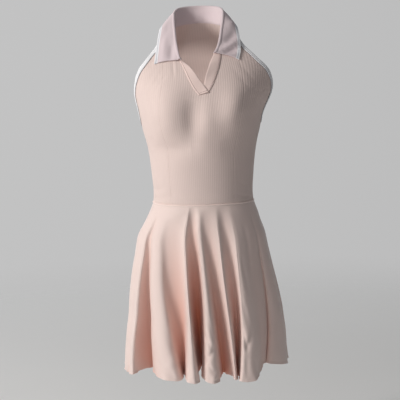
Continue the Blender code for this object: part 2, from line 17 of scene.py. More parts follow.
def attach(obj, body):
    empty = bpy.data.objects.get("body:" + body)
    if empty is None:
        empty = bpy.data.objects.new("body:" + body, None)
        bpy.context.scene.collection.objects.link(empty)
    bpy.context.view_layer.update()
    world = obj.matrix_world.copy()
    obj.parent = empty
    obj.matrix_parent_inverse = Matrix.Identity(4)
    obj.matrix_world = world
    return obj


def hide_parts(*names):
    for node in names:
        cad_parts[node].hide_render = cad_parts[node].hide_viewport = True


bl_info = {
    "name": "Tennis dress",
    "version": (1, 0, 0),
    "blender": (4, 5, 0),
    "location": "3D view > Sidebar > Dress",
    "description": "Builds the cloth, the sewing and the stage of a tennis dress",
    "category": "Object",
}

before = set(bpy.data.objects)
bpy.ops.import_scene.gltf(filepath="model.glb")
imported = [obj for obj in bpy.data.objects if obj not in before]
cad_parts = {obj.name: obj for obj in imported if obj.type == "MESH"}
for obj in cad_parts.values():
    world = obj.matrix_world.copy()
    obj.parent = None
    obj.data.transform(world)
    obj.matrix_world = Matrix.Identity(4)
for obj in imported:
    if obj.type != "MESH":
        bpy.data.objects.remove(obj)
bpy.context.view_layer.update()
BODY = "root"
SIDES = {"left": -1, "right": 1}
MM = 0.001

# Heights and the form of the bodice
WAIST = -0.406
HEM = -0.816
UNDERARM = -0.216
BACK_NECK = 0.012
SEAM = 0.0003
HALF_GAP = SEAM / 4
NECK_HALF = 0.057
SHOULDER_SLOPE = 0.31
NECK_RISE = 1.5
SHOULDER_ROUND = 0.060
SHOULDER_NECK = 0.0595
SHOULDER_PRINCESS = 0.070
CUP_X = 0.088
CUP_Z = -0.190
CUP_DEPTH = 0.020
CUP_WIDE = 0.046
CUP_ABOVE = 0.062
CUP_BELOW = 0.046

# Knit panels: ribs across each and rows up it, points across a rib, its width, how far a panel
# stops short of the armhole edge and of the bands' seams, and the points of those edges
RIBS_CENTRE, ROWS_CENTRE = 36, 110
RIBS_SIDE, ROWS_SIDE = 24, 100
RIBS_BACK, ROWS_BACK = 72, 88
RIB_STEPS = 6
RIB_PITCH = 0.0045
ARMHOLE_INSET, ARMHOLE_STEPS = 0.0012, 2400
BAND_INSET, V_STEPS = 0.0016, 300
NECK_STEPS = 120

# Bands, collar, bindings and stitches
BAND_ROWS, BAND_COLUMNS = 121, 33
BAND_LIFT = 0.0019
BAND_TUCK = 0.02
COLLAR_ROWS = 241
COLLAR_PITCH = 0.022
COLLAR_WIDTH = 0.055
BINDING_STEPS = 480
BINDING_PITCH = 0.0011
# Thread of the binding's stitches: real stitches, coloured near black as painted shadow in the gaps
# of the stitching.
BINDING_THREAD_AND_SHADOW = (0.13, 0.12, 0.13)
STITCH_RINGS = 5
STITCH_SIDES = 6
THREAD_RADIUS = {"hem": 0.00022, "band": 0.00034, "tack": 0.00028, "binding": 0.00042}

# Relief: the width and height of each bell curve; the widths on a band are shares of its own
SEAM_SINK = (0.0011, 0.00035)
WAIST_SINK = (0.0016, 0.0005)
SIDE_SINK = (0.0028, 0.0006)
WAIST_RIDGE = (0.0013, 0.0017)
TAPE_LINE = (0.0012, 0.0003)
HEM_ROLL = (0.0030, 0.0007)
HEM_GROOVE = (0.0012, 0.0003)
BAND_EDGE = (0.045, 0.00045)
BAND_SEAM = (0.035, 0.00025)

# Skirt: places round it are counted in rows of the table of folds
SIDE_RIGHT, SIDE_LEFT = 30.5, 58.5
SKIRT_STEPS = 10
SKIRT_ROWS = 93
SKIRT_LENGTH = 0.41
FOLD_WIDTH = 0.03
FOLD_HEIGHTS = (-0.460, -0.620, HEM)
FOLD_GROWTH = 0.85

# Stage
CAMERA_PLACE = (0.0890, -2.548, -0.074)
CAMERA_AIM = (-0.008, 0.0, -0.406)
CAMERA_ROLL = 1.6
LIGHT_AIM = (0.0, 0.0, -0.42)
FLOOR_SIDES = 96
FLOOR_RADIUS = 12

NOT_LENGTHS = ("degrees", "share", "face", "top", "middle", "hem", "reach")


def table(columns, *rows):
    """Turns rows of numbers under named columns into one array for each column.

    Lengths are in millimetres and become metres. Degrees, shares and faces stay as they are.
    """
    arrays = zip(columns.split(), np.array(rows, float).T)
    return {name: line if name in NOT_LENGTHS else line * MM for name, line in arrays}


# Bodice: half its width, and how far its front and back stand from the middle
SECTIONS = table(
    "height half_width front back",
    (20, 187, 46, 58), (0, 187, 50, 66), (-27, 187, 56, 80), (-60, 187, 72, 94),
    (-80, 186, 83, 100), (-100, 181, 92, 106), (-120, 174, 99, 109), (-150, 166, 107, 110),
    (-188, 150, 111, 106), (-212, 142, 110, 102), (-236, 137, 107, 98), (-260, 131, 104, 94),
    (-300, 124, 98, 87), (-350, 119, 92, 81), (-385, 117, 90, 79), (WAIST / MM, 118.5, 90, 80),
)
# How far the bodice leans to the viewer's right
SWAY = table(
    "height shift",
    (0, 0), (-45, 3), (-80, 6.5), (-107, 9.2), (-137, 8.5), (-168, 4.7), (-212, 0), (-406, 0),
)
# How far out the princess seams are
PRINCESS = table(
    "height out",
    (-406, 72), (-360, 73), (-300, 76), (-260, 82), (-220, 89), (-190, 93), (-156, 94),
    (-120, 91), (-80, 86.5), (-45, 79), (-20, 73), (-4, 70),
)
# Edge of the armhole on the viewer's right, in degrees round the body from the front
ARMHOLE = table(
    "degrees height",
    (26, -7.8), (27, -10.5), (27.9, -17), (29.3, -27), (33, -45), (38.2, -60), (44.3, -76),
    (51.9, -91), (59.4, -107), (66, -123), (70, -137), (73, -151), (75.5, -168), (78, -186),
    (82, -204), (90, UNDERARM / MM), (98, -211), (107, -201), (118, -185), (130.5, -165),
    (140, -141), (146.4, -115), (150, -90), (152, -60), (153, -30), (153.5, -18), (153.8, -10.5),
    (154, -7.8),
)
# How far round the back panel reaches, as a share of a quarter turn
BACK_SPREAD = table(
    "height share",
    (WAIST / MM, 1), (UNDERARM / MM, 1), (-150, 0.92), (-100, 0.84), (-50, 0.78), (20, 0.76),
)
# The two bands of the neck opening by side: their seam and their open edge, from the bottom up
BANDS = {
    -1: table(
        "seam_x seam_z edge_x edge_z",
        (0.5, -153.2, 22.2, -147.8), (-10.5, -139.6, 11.1, -131.3), (-20.4, -121.5, 2.2, -119.9),
        (-31.5, -96.6, -8.8, -103.9), (-38.5, -81.5, -19.9, -90.2), (-42, -76.2, -30, -81.5),
        (-44, -73, -40.2, -74.8),
    ),
    1: table(
        "seam_x seam_z edge_x edge_z",
        (23.2, -148.5, 4.5, -150), (24.5, -144.5, 10, -144), (33.7, -127.5, 13.3, -129.2),
        (42, -105.3, 15.8, -115.8), (46.5, -92.5, 20, -103.5), (49, -80, 25, -88),
        (50.7, -67.5, 27.8, -80.3), (50.5, -56, 36, -61.5),
    ),
}
# Collar from the viewer's right round the neck to the left, on the front (-1) and the back (1):
# its neck seam, the bottom of its roll and its outer edge
COLLAR = table(
    "face seam_x seam_z roll_x roll_y roll_z edge_x edge_y edge_z",
    (-1, 36.2, -60.8, 36.2, -79, -60, 92.5, -76.5, -76.5),
    (-1, 50, -54.5, 42.5, -72.5, -48.5, 96.2, -66, -59.7),
    (-1, 52, -39, 47.5, -62, -31, 96.6, -57.5, -44),
    (-1, 54, -24, 51, -44, -9, 94.5, -41.5, -23),
    (-1, 56.5, -10, 54, -19, 12, 90, -19, -3),
    (-1, 59, -0.8, 55, 6, 30, 86.5, 6, 2),
    (1, 48, 5, 49, 35, 43, 77, 40, 3.5),
    (1, 27, 10, 29, 56, 48.5, 48, 73, 4.5),
    (1, 0, BACK_NECK / MM, 0, 64, 50, 0, 89, 5),
    (1, -27, 10, -29, 56, 48.5, -48, 73, 4.5),
    (1, -48, 5, -49, 35, 43, -77, 40, 3.5),
    (-1, -59, -0.8, -55, 6, 30, -86.5, 6, 2),
    (-1, -56.5, -10, -54, -19, 12, -89.5, -19, -3),
    (-1, -54, -25, -51.5, -44, -10, -93, -41, -23),
    (-1, -52, -42, -49.2, -63, -32, -96, -55.5, -44),
    (-1, -49, -62, -45, -74.5, -55, -98.5, -64, -62),
    (-1, -40.4, -74, -40.4, -85, -73, -101.3, -72, -81.2),
)
# Skirt before its folds: how far it stands from the middle on each side
FLARE = table(
    "height right left front back",
    (WAIST / MM, 118.5, 118.5, 90, 80), (-423, 124.3, 124.6, 93.5, 86),
    (-442, 131.3, 134.3, 97.5, 95), (-457, 136.8, 142.8, 101, 102),
    (-483, 146.7, 157.7, 107.5, 114), (-527, 156, 167, 116, 127), (-576, 167, 176.9, 122, 137),
    (-625, 178.2, 183.6, 127, 144), (-674, 187.8, 187.8, 131, 150),
    (-724, 194.5, 195, 134.5, 155), (-761, 196.2, 197.8, 136.5, 158),
    (HEM / MM, 199, 202, 138.5, 162),
)
# Ridges and valleys round the skirt: degrees at the three heights, the share of the flare that
# they reach at the hem, how far the hem is lifted and how far below the waist they start
FOLDS = table(
    "top middle hem reach lift start",
    # front and right side
    (-84.1, -85, -81.7, 1.02, 7, 30), (-73.7, -77.1, -74.6, 1, 5, 30),
    (-65.6, -67.7, -69.5, 0.97, 3, 30), (-60.7, -60.6, -64.1, 1.01, 4, 30),
    (-57.9, -56.4, -58.2, 1.03, 5, 30), (-56.5, -68, -81, 0.66, 10, 28),
    (-53.5, -60, -68, 0.62, 13, 28), (-49.8, -43.5, -33.5, 0.99, 8, 28),
    (-39.2, -28.4, -13.5, 1.06, 4, 30), (-36.2, -34.9, -23.8, 0.65, 7, 28),
    (-24.8, -19.5, -24.7, 0.56, 12, 25), (-16.1, -11.2, -11.4, 1.07, 4, 10),
    (-14.8, -10.6, -2, 1.09, 0, 10), (-13.1, -15, -11.2, 0.34, 21, 4),
    (-8, -3.4, -6.6, 0.34, 28, 3), (-4, 0, -2.3, 1.09, 3, 10), (-1.6, 4.5, 9.4, 1.02, 0, 10),
    (1.5, 7.4, 15.9, 0.54, 12, 10), (8, 14.2, 24.7, 0.6, 7, 8), (14.2, 16.5, 20.2, 1, 7, 6),
    (15.9, 18.5, 22.9, 0.93, 1, 6), (18.9, 24.2, 30, 0.66, 0, 4), (23.5, 33.4, 37.5, 0.56, 1, 4),
    (30.4, 25.5, 17.6, 1.09, 3, 5), (34.1, 35.3, 37.9, 1.01, -5, 10),
    (46.8, 46.5, 45.4, 0.89, 26, 16), (56.5, 54.3, 47.4, 0.91, 30, 20),
    (61, 65.4, 60.6, 0.77, 30, 22), (63.6, 57.2, 45.2, 0.94, 30, 26),
    (73.5, 78, 83.5, 1.05, 12, 28), (88.3, 90.5, 94, 0.77, 18, 30),
    # back and left side
    (89.5, 92, 96, 0.76, 18, 30), (100.5, 101.5, 102, 1, 10, 28),
    (105.6, 105.5, 106.7, 1.06, 6, 26), (115.7, 116.8, 117.8, 0.59, 20, 24),
    (118.3, 119.4, 120.7, 0.59, 20, 22), (128.7, 129, 126.7, 1.06, -2, 20),
    (131.4, 133.2, 135.2, 1.07, -3, 18), (141.2, 141.6, 142, 0.5, 23, 14),
    (142.8, 143.4, 144, 0.5, 23, 12), (152.2, 151.8, 150.9, 1.08, -3, 10),
    (153.9, 156.3, 158.8, 1.08, -2, 10), (162.7, 163.6, 164.5, 0.54, 18, 10),
    (163.9, 164.4, 165.7, 0.55, 18, 10), (173.2, 171.7, 169.5, 1.04, -2, 8),
    (174.9, 176.4, 178.6, 1.06, -3, 8), (183.7, 182.5, 181.8, 0.43, 25, 10),
    (184.9, 183.3, 181.8, 0.43, 25, 10), (193.1, 191.2, 188.8, 1.09, -5, 10),
    (194.6, 196.1, 197, 1.08, -5, 10), (206, 205.9, 205.8, 0.57, 21, 12),
    (207.2, 206.1, 206.1, 0.57, 20, 12), (217.8, 216.5, 216.2, 1.05, -2, 14),
    (219.9, 220.4, 222.8, 1.06, -2, 18), (234.3, 236.5, 238.1, 0.52, 20, 22),
    (235.5, 235.8, 236.2, 0.52, 20, 24), (246.7, 248.4, 248.1, 1.09, 0, 26),
    (251.3, 256.1, 258.5, 1.09, 0, 28), (263.9, 263.4, 265, 0.74, 20, 30),
    (266.3, 266.5, 266.5, 0.75, 20, 30),
)
FOLD_COUNT = len(FOLDS["hem"])

# Creases: the two ends of a line, how deep it is (ridges are negative) and how wide, in
# millimetres. The ends are x and z on the front and on the back.
FRONT_CREASES = (
    (-122, -157, -78, -90, 0.6, 4.5), (-112, -160, -70, -100, 0.5, 4),
    (-130, -146, -92, -86, 0.5, 4.5), (-104, -150, -66, -112, -0.4, 5),
    (-58.5, -74, -56, -109, 1, 3.8), (-53, -78, -52, -112, -0.6, 4.2),
    (120, -150, 76, -94, 0.5, 5), (128, -128, 90, -80, 0.5, 4.5),
    (-118, -398, -70, -385, 1.2, 5), (-116, -376, -82, -366, 0.8, 6),
    (118, -397, 76, -388, 1.2, 5), (116, -372, 86, -360, 0.8, 6), (10, -256, 52, -246, 0.6, 7),
    (-50, -252, -14, -262, 0.6, 7), (-90, -388, 20, -392, 0.3, 4),
    (-12, -160, -20, -262, 8.2, 21), (-108, -280, -22, -276, 6.8, 21),
    (-96, -228, -50, -222, -2.2, 18), (44, -280, 100, -274, 2, 24),
    (80, -140, 86, -250, -3.4, 24), (18, -170, 20, -240, -2, 17),
)
BACK_CREASES = (
    (-92, -352, 30, -338, 1.6, 6.5), (-20, -366, 96, -358, 1.4, 6),
    (-104, -384, -10, -378, 1.4, 5.5), (14, -389, 108, -382, 1.2, 5),
    (-70, -316, 58, -322, 0.9, 8), (-118, -190, -62, -236, 1, 6),
    (-108, -166, -46, -202, 0.9, 6), (116, -194, 60, -232, 1, 6), (106, -170, 40, -214, 0.9, 6),
    (-36, -20, -58, -66, 0.8, 6), (38, -18, 60, -70, 0.8, 6),
)
# Across the skirt in folds, and down as a share of its length
SKIRT_CREASES = (
    (7.15, 0.9, 7.85, 0.99, 3, 6), (7.6, 0.93, 8.05, 0.86, -2.2, 6), (7.9, 0.7, 8.2, 0.9, 2, 8),
    (15, 0.74, 15.6, 0.8, 3, 5.5), (15.9, 0.8, 15.1, 0.87, 3.4, 5.5),
    (15, 0.88, 15.8, 0.95, 3.8, 6), (16.1, 0.93, 15.5, 0.99, -2.2, 5),
    (15.4, 0.62, 15.7, 0.74, 1.4, 6), (23, 0.7, 23.5, 0.83, 3.4, 5),
    (23.8, 0.74, 23.3, 0.83, 3.6, 5), (23.3, 0.56, 23.6, 0.68, 1.6, 5.5),
    (23.4, 0.84, 23.45, 0.99, 4, 6), (23.9, 0.88, 24.1, 0.98, 1.8, 6),
    (23.8, 0.3, 24, 0.5, 1.2, 7), (24.8, 0.14, 24.7, 0.42, 1.4, 8),
    (11.3, 0.84, 11.5, 0.98, -1.2, 6), (3.3, 0.22, 3.4, 0.98, -1.4, 3),
    (11.15, 0.1, 11.2, 0.92, -1.6, 2.8), (15.1, 0.12, 15.15, 0.8, -1.4, 2.8),
    (19.25, 0.1, 19.3, 0.84, -1.2, 2.8), (23.05, 0.12, 23.1, 0.8, -1.4, 2.8),
    (19.3, 0.86, 19.7, 0.97, 1.4, 5), (4.2, 0.66, 4.5, 0.94, 1.8, 11),
    (28.3, 0.76, 28.8, 0.95, 2.2, 9), (29.3, 0.6, 29.1, 0.9, 1.6, 9),
    (32.5, 0.7, 32.9, 0.93, 2.6, 7), (36.6, 0.74, 36.1, 0.88, 2.8, 6),
    (36, 0.89, 36.6, 0.97, 2.4, 6), (40.6, 0.66, 40.1, 0.84, 2.4, 6),
    (40.1, 0.86, 40.7, 0.97, 2.8, 6), (44.6, 0.78, 44.1, 0.95, 2.6, 6),
    (48.2, 0.7, 48.7, 0.9, 2.6, 6.5), (48, 0.88, 48.6, 0.98, 2.4, 5.5),
    (52.6, 0.72, 52.1, 0.92, 2.6, 7), (56.6, 0.68, 56.1, 0.9, 2.6, 8),
)
# Along the collar in rows of its table, and across from 0 at the roll to 1 at the edge
COLLAR_CREASES = (
    (14.3, 0.12, 16, 0.3, 3, 7), (13, 0.4, 15.8, 0.62, -2.2, 10), (12, 0.2, 13.6, 0.55, 1.4, 10),
    (15.4, 0.7, 16.2, 0.95, 1.2, 8), (0.2, 0.25, 1.2, 0.8, 4.5, 8.5), (0.9, 0.15, 2, 0.7, -3, 8),
    (1.8, 0.15, 3, 0.75, 4.2, 10), (3.4, 0.2, 4.4, 0.7, -1.6, 10), (6, 0.2, 6.6, 0.9, 1.2, 9),
    (8.6, 0.2, 9, 0.9, 1, 9), (10.2, 0.15, 10, 0.8, 1.2, 8),
)


def colour_setting(name, description, *value):
    """A colour that a user can change."""
    return FloatVectorProperty(
        name=name, description=description, subtype="COLOR", size=3, min=0, max=1, default=value
    )


def length_setting(name, description, value, low, high):
    """A length that a user can change."""
    return FloatProperty(
        name=name, description=description, unit="LENGTH", min=low, max=high, default=value
    )


class DressColours(bpy.types.PropertyGroup):
    """Colours of the dress."""

    pink: colour_setting("Cloth", "Pink of the bodice and the skirt", 0.80, 0.655, 0.61)
    # Painted shade: the deep colour goes into the skirt between its flutes, darker and redder where
    # the cloth lies deeper, in place of shade and light bounced between the flutes.
    deep: colour_setting("Deep folds", "Pink between the flutes of the skirt", 0.72, 0.29, 0.19)
    collar: colour_setting("Collar", "Lilac pink of the collar", 0.75, 0.635, 0.655)
    band: colour_setting("Bands", "Pink of the two bands at the neck opening", 0.86, 0.68, 0.63)
    white: colour_setting("White", "White of the binding and the stripes", 0.90, 0.90, 0.92)
    # The line colour is the real lilac line between the collar's stripes. On the binding it also
    # serves as painted shade in the groove and along the inner edge.
    line: colour_setting("Line", "Lilac line between the two stripes", 0.56, 0.55, 0.62)
    thread: colour_setting("Thread", "Sewing thread of the bands", 0.24, 0.15, 0.15)


class DressSizes(bpy.types.PropertyGroup):
    """Sizes of the cloth and the sewing."""

    knit: length_setting("Knit", "Wall of the rib knit between its ribs", 0.0012, 0.0005, 0.003)
    rib: length_setting("Rib", "How far a rib stands out", 0.00025, 0, 0.001)
    jersey: length_setting("Jersey", "Wall of the skirt", 0.0012, 0.0005, 0.003)
    collar: length_setting("Collar wall", "Wall of the collar", 0.0018, 0.001, 0.003)
    band: length_setting("Band", "Thickness of a neck band", 0.0016, 0.001, 0.003)
    binding: length_setting("Binding", "Width of the armhole binding", 0.008, 0.005, 0.012)
    stitch: length_setting("Stitch", "Length of a stitch with its gap", 0.003, 0.002, 0.005)


class DressStage(bpy.types.PropertyGroup):
    """Floor, lights and camera."""

    floor: FloatProperty(
        name="Floor", description="Height of the floor", default=-1.15, unit="LENGTH",
    )
    key: FloatProperty(
        name="Key light", description="Power of the large light at the viewer's left",
        default=56, min=0, unit="POWER",
    )
    lens: FloatProperty(
        name="Lens", description="Focal length of the camera", default=97.1,
        min=20, max=300, subtype="DISTANCE_CAMERA",
    )


def smooth(at, knots, values):
    """Cubic Hermite curve through the knots, each slope the mean of the two beside it."""
    order = np.argsort(knots)
    knots, values = np.asarray(knots)[order], np.asarray(values)[order]
    at = np.clip(at, knots[0], knots[-1])
    step = np.diff(knots)
    chord = np.diff(values) / step
    slope = np.concatenate([chord[:1], (chord[:-1] + chord[1:]) / 2, chord[-1:]])
    flat = chord[:-1] * chord[1:] <= 0
    slope[1:-1][flat] = 0
    part = np.clip(np.searchsorted(knots, at, side="right") - 1, 0, len(step) - 1)
    u = (at - knots[part]) / step[part]
    start = (1 + 2 * u) * (1 - u) ** 2 * values[part] + u * (1 - u) ** 2 * step[part] * slope[part]
    end = u**2 * (3 - 2 * u) * values[part + 1] - u**2 * (1 - u) * step[part] * slope[part + 1]
    return start + end


def bell(distance, width, height=1):
    """Bell curve: its height at no distance, falling off over the width."""
    return height * np.exp(-((distance / width) ** 2))


def unit(vectors):
    """Each vector at length one."""
    return vectors / np.maximum(np.linalg.norm(vectors, axis=-1, keepdims=True), 1e-12)


def distance_along(points):
    """How far each point is from the first, summed along the first axis of the points."""
    steps = np.linalg.norm(np.diff(points, axis=0), axis=-1)
    return np.concatenate([0 * steps[:1], np.cumsum(steps, 0)])


def column(data, name, height):
    """A named column of a table, read at the heights given."""
    return smooth(height, data["height"], data[name])


def along_rows(data, names, at):
    """Columns of a table read on smooth curves, at places counted in rows or at even steps."""
    knots = np.arange(len(next(iter(data.values()))))
    at = np.linspace(0, knots[-1], at) if np.isscalar(at) else at
    return [smooth(at, knots, data[name]) for name in names.split()]


def half_width(height):
    """Half the width of the bodice."""
    return column(SECTIONS, "half_width", height)


def sway(height):
    """How far the bodice leans to the viewer's right."""
    return column(SWAY, "shift", height)


def squared_depth(x, height, face):
    """Square of how far the front (-1) or the back (1) stands from the middle at x, without cups:
    a half ellipse at each level, shrunk like a quarter circle near the shoulder line."""
    depth = np.where(face < 0, column(SECTIONS, "front", height), column(SECTIONS, "back", height))
    out = np.abs(x) - NECK_HALF
    shoulder = np.where(out > 0, -out * SHOULDER_SLOPE, -out * NECK_RISE)
    below = np.minimum((shoulder - height) / SHOULDER_ROUND, 1)
    return depth**2 * (1 - (x / half_width(height)) ** 2) * (1 - (1 - below) ** 2)


def cup_depth(x, height, face):
    """How far the cups stand out of the front at x: one bell curve each side."""
    tall = np.where(height > CUP_Z, CUP_ABOVE, CUP_BELOW)
    cup = np.exp(-(((np.abs(x) - CUP_X) / CUP_WIDE) ** 2) - ((height - CUP_Z) / tall) ** 2)
    facing = np.sqrt(np.clip(1 - (x / half_width(height)) ** 2, 0, 1))
    return np.where(face < 0, CUP_DEPTH * cup * facing, 0)


def torso(angle, height):
    """Point of the bodice at an angle round the body from the front, and a height."""
    x = half_width(height) * np.sin(angle)
    face = np.where(np.cos(angle) > 0, -1, 1)
    y = face * (np.sqrt(np.maximum(squared_depth(x, height, face), 0)) + cup_depth(x, height, face))
    return np.stack([x + sway(height), y, height + 0 * x], -1)


def torso_normal(angle, height):
    """Outward direction of the bodice: the gradient of (y + cup)^2 - depth^2."""
    step = 1e-4
    x = half_width(height) * np.sin(angle)
    face = np.where(np.cos(angle) > 0, -1, 1)
    y = face * np.sqrt(np.maximum(squared_depth(x, height, face), 0))

    def slope(across, down):
        """Slopes of the squared depth and the cup, each from two points a short step apart."""
        ends = []
        for way in (1, -1):
            z = height + way * down * step
            place = x + sway(height) - sway(z) + way * across * step
            ends.append((squared_depth(place, z, face), face * cup_depth(place, z, face)))
        return [(a - b) / (2 * step) for a, b in zip(*ends)]

    (depth_x, cup_x), (depth_z, cup_z) = slope(1, 0), slope(0, 1)
    return unit(np.stack([-2 * y * cup_x - depth_x, 2 * y, -2 * y * cup_z - depth_z], -1))


def angle_at(x, height, face=-1):
    """Angle round the body of the point at x, on the front (-1) or the back (1)."""
    front = np.arcsin(np.clip((x - sway(height)) / half_width(height), -1, 1))
    return np.where(np.asarray(face) < 0, front, math.pi - front)


def princess_angle(height):
    """Angle of the princess seam at each height."""
    return np.arcsin(column(PRINCESS, "out", height) / half_width(height))


def shoulder_height(x):
    """Height of the shoulder seam at x."""
    return -(np.abs(x) - NECK_HALF) * SHOULDER_SLOPE


def armhole(count, inset=0.0):
    """Angles and heights of the armhole edge on the viewer's right, or of a line inside it.

    The inset is measured on the cloth, square to the edge, as if the body were a cylinder there.
    """
    degrees, height = along_rows(ARMHOLE, "degrees height", count)
    radius = half_width(height)
    flat = np.stack([np.radians(degrees) * radius, height])
    along = np.gradient(flat, axis=1)
    along /= np.linalg.norm(along, axis=0)
    flat = flat + inset * np.stack([along[1], -along[0]])
    return flat[0] / radius, flat[1]


def neck_edge(first, last):
    """Neck edge along the collar's seam between two rows of its table."""
    rows = {name: values[first:last] for name, values in COLLAR.items()}
    return along_rows(rows, "seam_x seam_z", NECK_STEPS)


def creases(u, v, rows, pitch=(MM, MM)):
    """Sum of soft troughs: each is a line that fades at both ends, with a bell profile across.

    The pitch turns the ends of the lines into the units of u and v.
    """
    total = np.zeros(np.broadcast(u, v).shape)
    for u0, v0, u1, v1, depth, width in np.array(rows) * (*pitch, *pitch, MM, MM):
        du, dv = u1 - u0, v1 - v0
        near = np.clip(((u - u0) * du + (v - v0) * dv) / (du**2 + dv**2), 0, 1)
        away = np.hypot(u - u0 - near * du, v - v0 - near * dv)
        total -= depth * np.sin(np.pi * (0.08 + 0.84 * near)) ** 0.8 * bell(away, width)
    return total


def folded_ring(outer, inner, bulge):
    """Rings of a wall: down the outside of each column, round its edge, up the inside and round.

    Both grids are (columns, rows, 3). The point between the two sides at each end stands out by
    bulge, which rounds the edge.
    """
    first = (outer[:, :1] + inner[:, :1]) / 2 + unit(outer[:, :1] - outer[:, 1:2]) * bulge
    last = (outer[:, -1:] + inner[:, -1:]) / 2 + unit(outer[:, -1:] - outer[:, -2:-1]) * bulge
    return np.concatenate([outer, last, inner[:, ::-1], first], 1)


def quads_between(here, ahead):
    """Quads between each ring of point numbers and the ring ahead of it."""
    return np.stack([here, ahead, np.roll(ahead, -1, -1), np.roll(here, -1, -1)], -1).reshape(-1, 4)


def ring_faces(sections, corners, closed):
    """Quads between each ring of points and the next, and the two zipped ends of an open row."""
    grid = np.arange(sections * corners).reshape(sections, corners)
    if closed:
        return [quads_between(grid, np.roll(grid, -1, 0))]
    half = corners // 2 - 1
    j = np.arange(half - 1)
    zips, tips = [], []
    for ring, turn in ((grid[0], 1), (grid[-1], -1)):
        sides = [ring[j], ring[j + 1], ring[2 * half - j - 1], ring[2 * half - j]]
        zips.append(np.stack(sides, -1)[:, ::turn])
        tips.append(ring[[half - 1, half, half + 1]][::turn])
        tips.append(ring[[2 * half, 2 * half + 1, 0]][::turn])
    return quads_between(grid[:-1], grid[1:]), np.concatenate(zips), np.array(tips)


def piece(name, node, points, faces, finish, uv, values=None, sharp=45):
    """One object from points and faces, turned to face out, with its UV map and attributes."""
    mesh = bpy.data.meshes.new(name)
    corners = [tuple(face) for group in faces for face in group.tolist()]
    mesh.from_pydata(points.reshape(-1, 3), [], corners)
    loops = np.zeros(len(mesh.loops), int)
    mesh.loops.foreach_get("vertex_index", loops)
    layer = mesh.uv_layers.new(name="weave")
    layer.data.foreach_set("uv", uv.reshape(-1, 2)[loops].astype(np.float32).ravel())
    for label, value in (values or {}).items():
        made = mesh.attributes.new(label, "FLOAT", "POINT")
        made.data.foreach_set("value", np.asarray(value, np.float32).ravel())
    shaped = bmesh.new()
    shaped.from_mesh(mesh)
    bmesh.ops.recalc_face_normals(shaped, faces=shaped.faces)
    if shaped.calc_volume(signed=True) < 0:
        bmesh.ops.reverse_faces(shaped, faces=shaped.faces)
    shaped.to_mesh(mesh)
    shaped.free()
    mesh.shade_smooth()
    mesh.set_sharp_from_angle(angle=math.radians(sharp))
    mesh.materials.append(finish)
    thing = bpy.data.objects.new(name, mesh)
    bpy.context.scene.collection.objects.link(thing)
    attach(thing, BODY)
    if node:
        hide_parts(node)
    return thing


def wall_piece(name, node, outer, inner, finish, uv, values=None, bulge=0.0005):
    """A closed wall between two grids, with the same UV place on both sides."""
    rings = folded_ring(outer, inner, bulge)

    def both(grid):
        """The grid for both sides and the two rounded edges of the wall."""
        return np.concatenate([grid, grid[:, -1:], grid[:, ::-1], grid[:, :1]], 1)

    values = {k: both(np.broadcast_to(v, outer.shape[:2])) for k, v in (values or {}).items()}
    faces = ring_faces(*rings.shape[:2], False)
    return piece(name, node, rings, faces, finish, both(uv), values)


# Finishes


def add_node(tree, kind, settings=None, **sockets):
    """Adds a shader node. A socket, called by its name or by i and its number, takes a value or
    another node's output."""
    made = tree.nodes.new(kind)
    for key, value in (settings or {}).items():
        setattr(made, key, value)
    for key, value in sockets.items():
        socket = made.inputs[int(key[1:]) if key[1:].isdigit() else key]
        if isinstance(value, bpy.types.NodeSocket):
            tree.links.new(value, socket)
        else:
            socket.default_value = value
    return made


def maths(tree, operation, *terms):
    """Output of a Math node."""
    sockets = {f"i{k}": term for k, term in enumerate(terms)}
    return add_node(tree, "ShaderNodeMath", {"operation": operation}, **sockets).outputs[0]


def mix_colour(tree, share, first, second):
    """First colour at share 0, second at share 1."""
    ends = [c if isinstance(c, bpy.types.NodeSocket) else (*c, 1) for c in (first, second)]
    made = add_node(tree, "ShaderNodeMix", {"data_type": "RGBA"}, i0=share, i6=ends[0], i7=ends[1])
    return made.outputs[2]


def noise(tree, scale, detail=2.0):
    """Noise on Object coordinates, near 0.5."""
    place = add_node(tree, "ShaderNodeTexCoord").outputs["Object"]
    made = add_node(tree, "ShaderNodeTexNoise", Vector=place, Scale=scale, Detail=detail)
    return made.outputs["Fac"]


def shade(colour, factor):
    """A colour made darker or lighter."""
    return tuple(min(c * factor, 1.0) for c in colour)


def dyed(tree, colour, scale, low, high):
    """A colour with the slight unevenness of dye: noise between two shades of it."""
    return mix_colour(tree, noise(tree, scale, 3), shade(colour, low), shade(colour, high))


def weave_place(tree):
    """The two coordinates of the UV map: across in wales or metres, and along in metres."""
    place = add_node(tree, "ShaderNodeUVMap", {"uv_map": "weave"}).outputs[0]
    made = add_node(tree, "ShaderNodeSeparateXYZ", i0=place)
    return made.outputs[0], made.outputs[1]


def cloth_finish(name, roughness, sheen):
    """A material with its nodes and its Principled shader, ready for colour and relief."""
    made = bpy.data.materials.new(name)
    made.use_nodes = True
    tree = made.node_tree
    shader = tree.nodes["Principled BSDF"]
    shader.inputs["Roughness"].default_value = roughness
    shader.inputs["Metallic"].default_value = 0
    shader.inputs["Specular IOR Level"].default_value = 0.25
    shader.inputs["Sheen Weight"].default_value = sheen
    shader.inputs["Sheen Roughness"].default_value = 0.45
    return made, tree, shader


def finish_with(tree, shader, colour, height, distance, strength):
    """Gives the shader its colour, and bump from a height between 0 and 1."""
    tree.links.new(colour, shader.inputs["Base Color"])
    made = add_node(tree, "ShaderNodeBump", Strength=strength, Distance=distance, Height=height)
    tree.links.new(made.outputs[0], shader.inputs["Normal"])


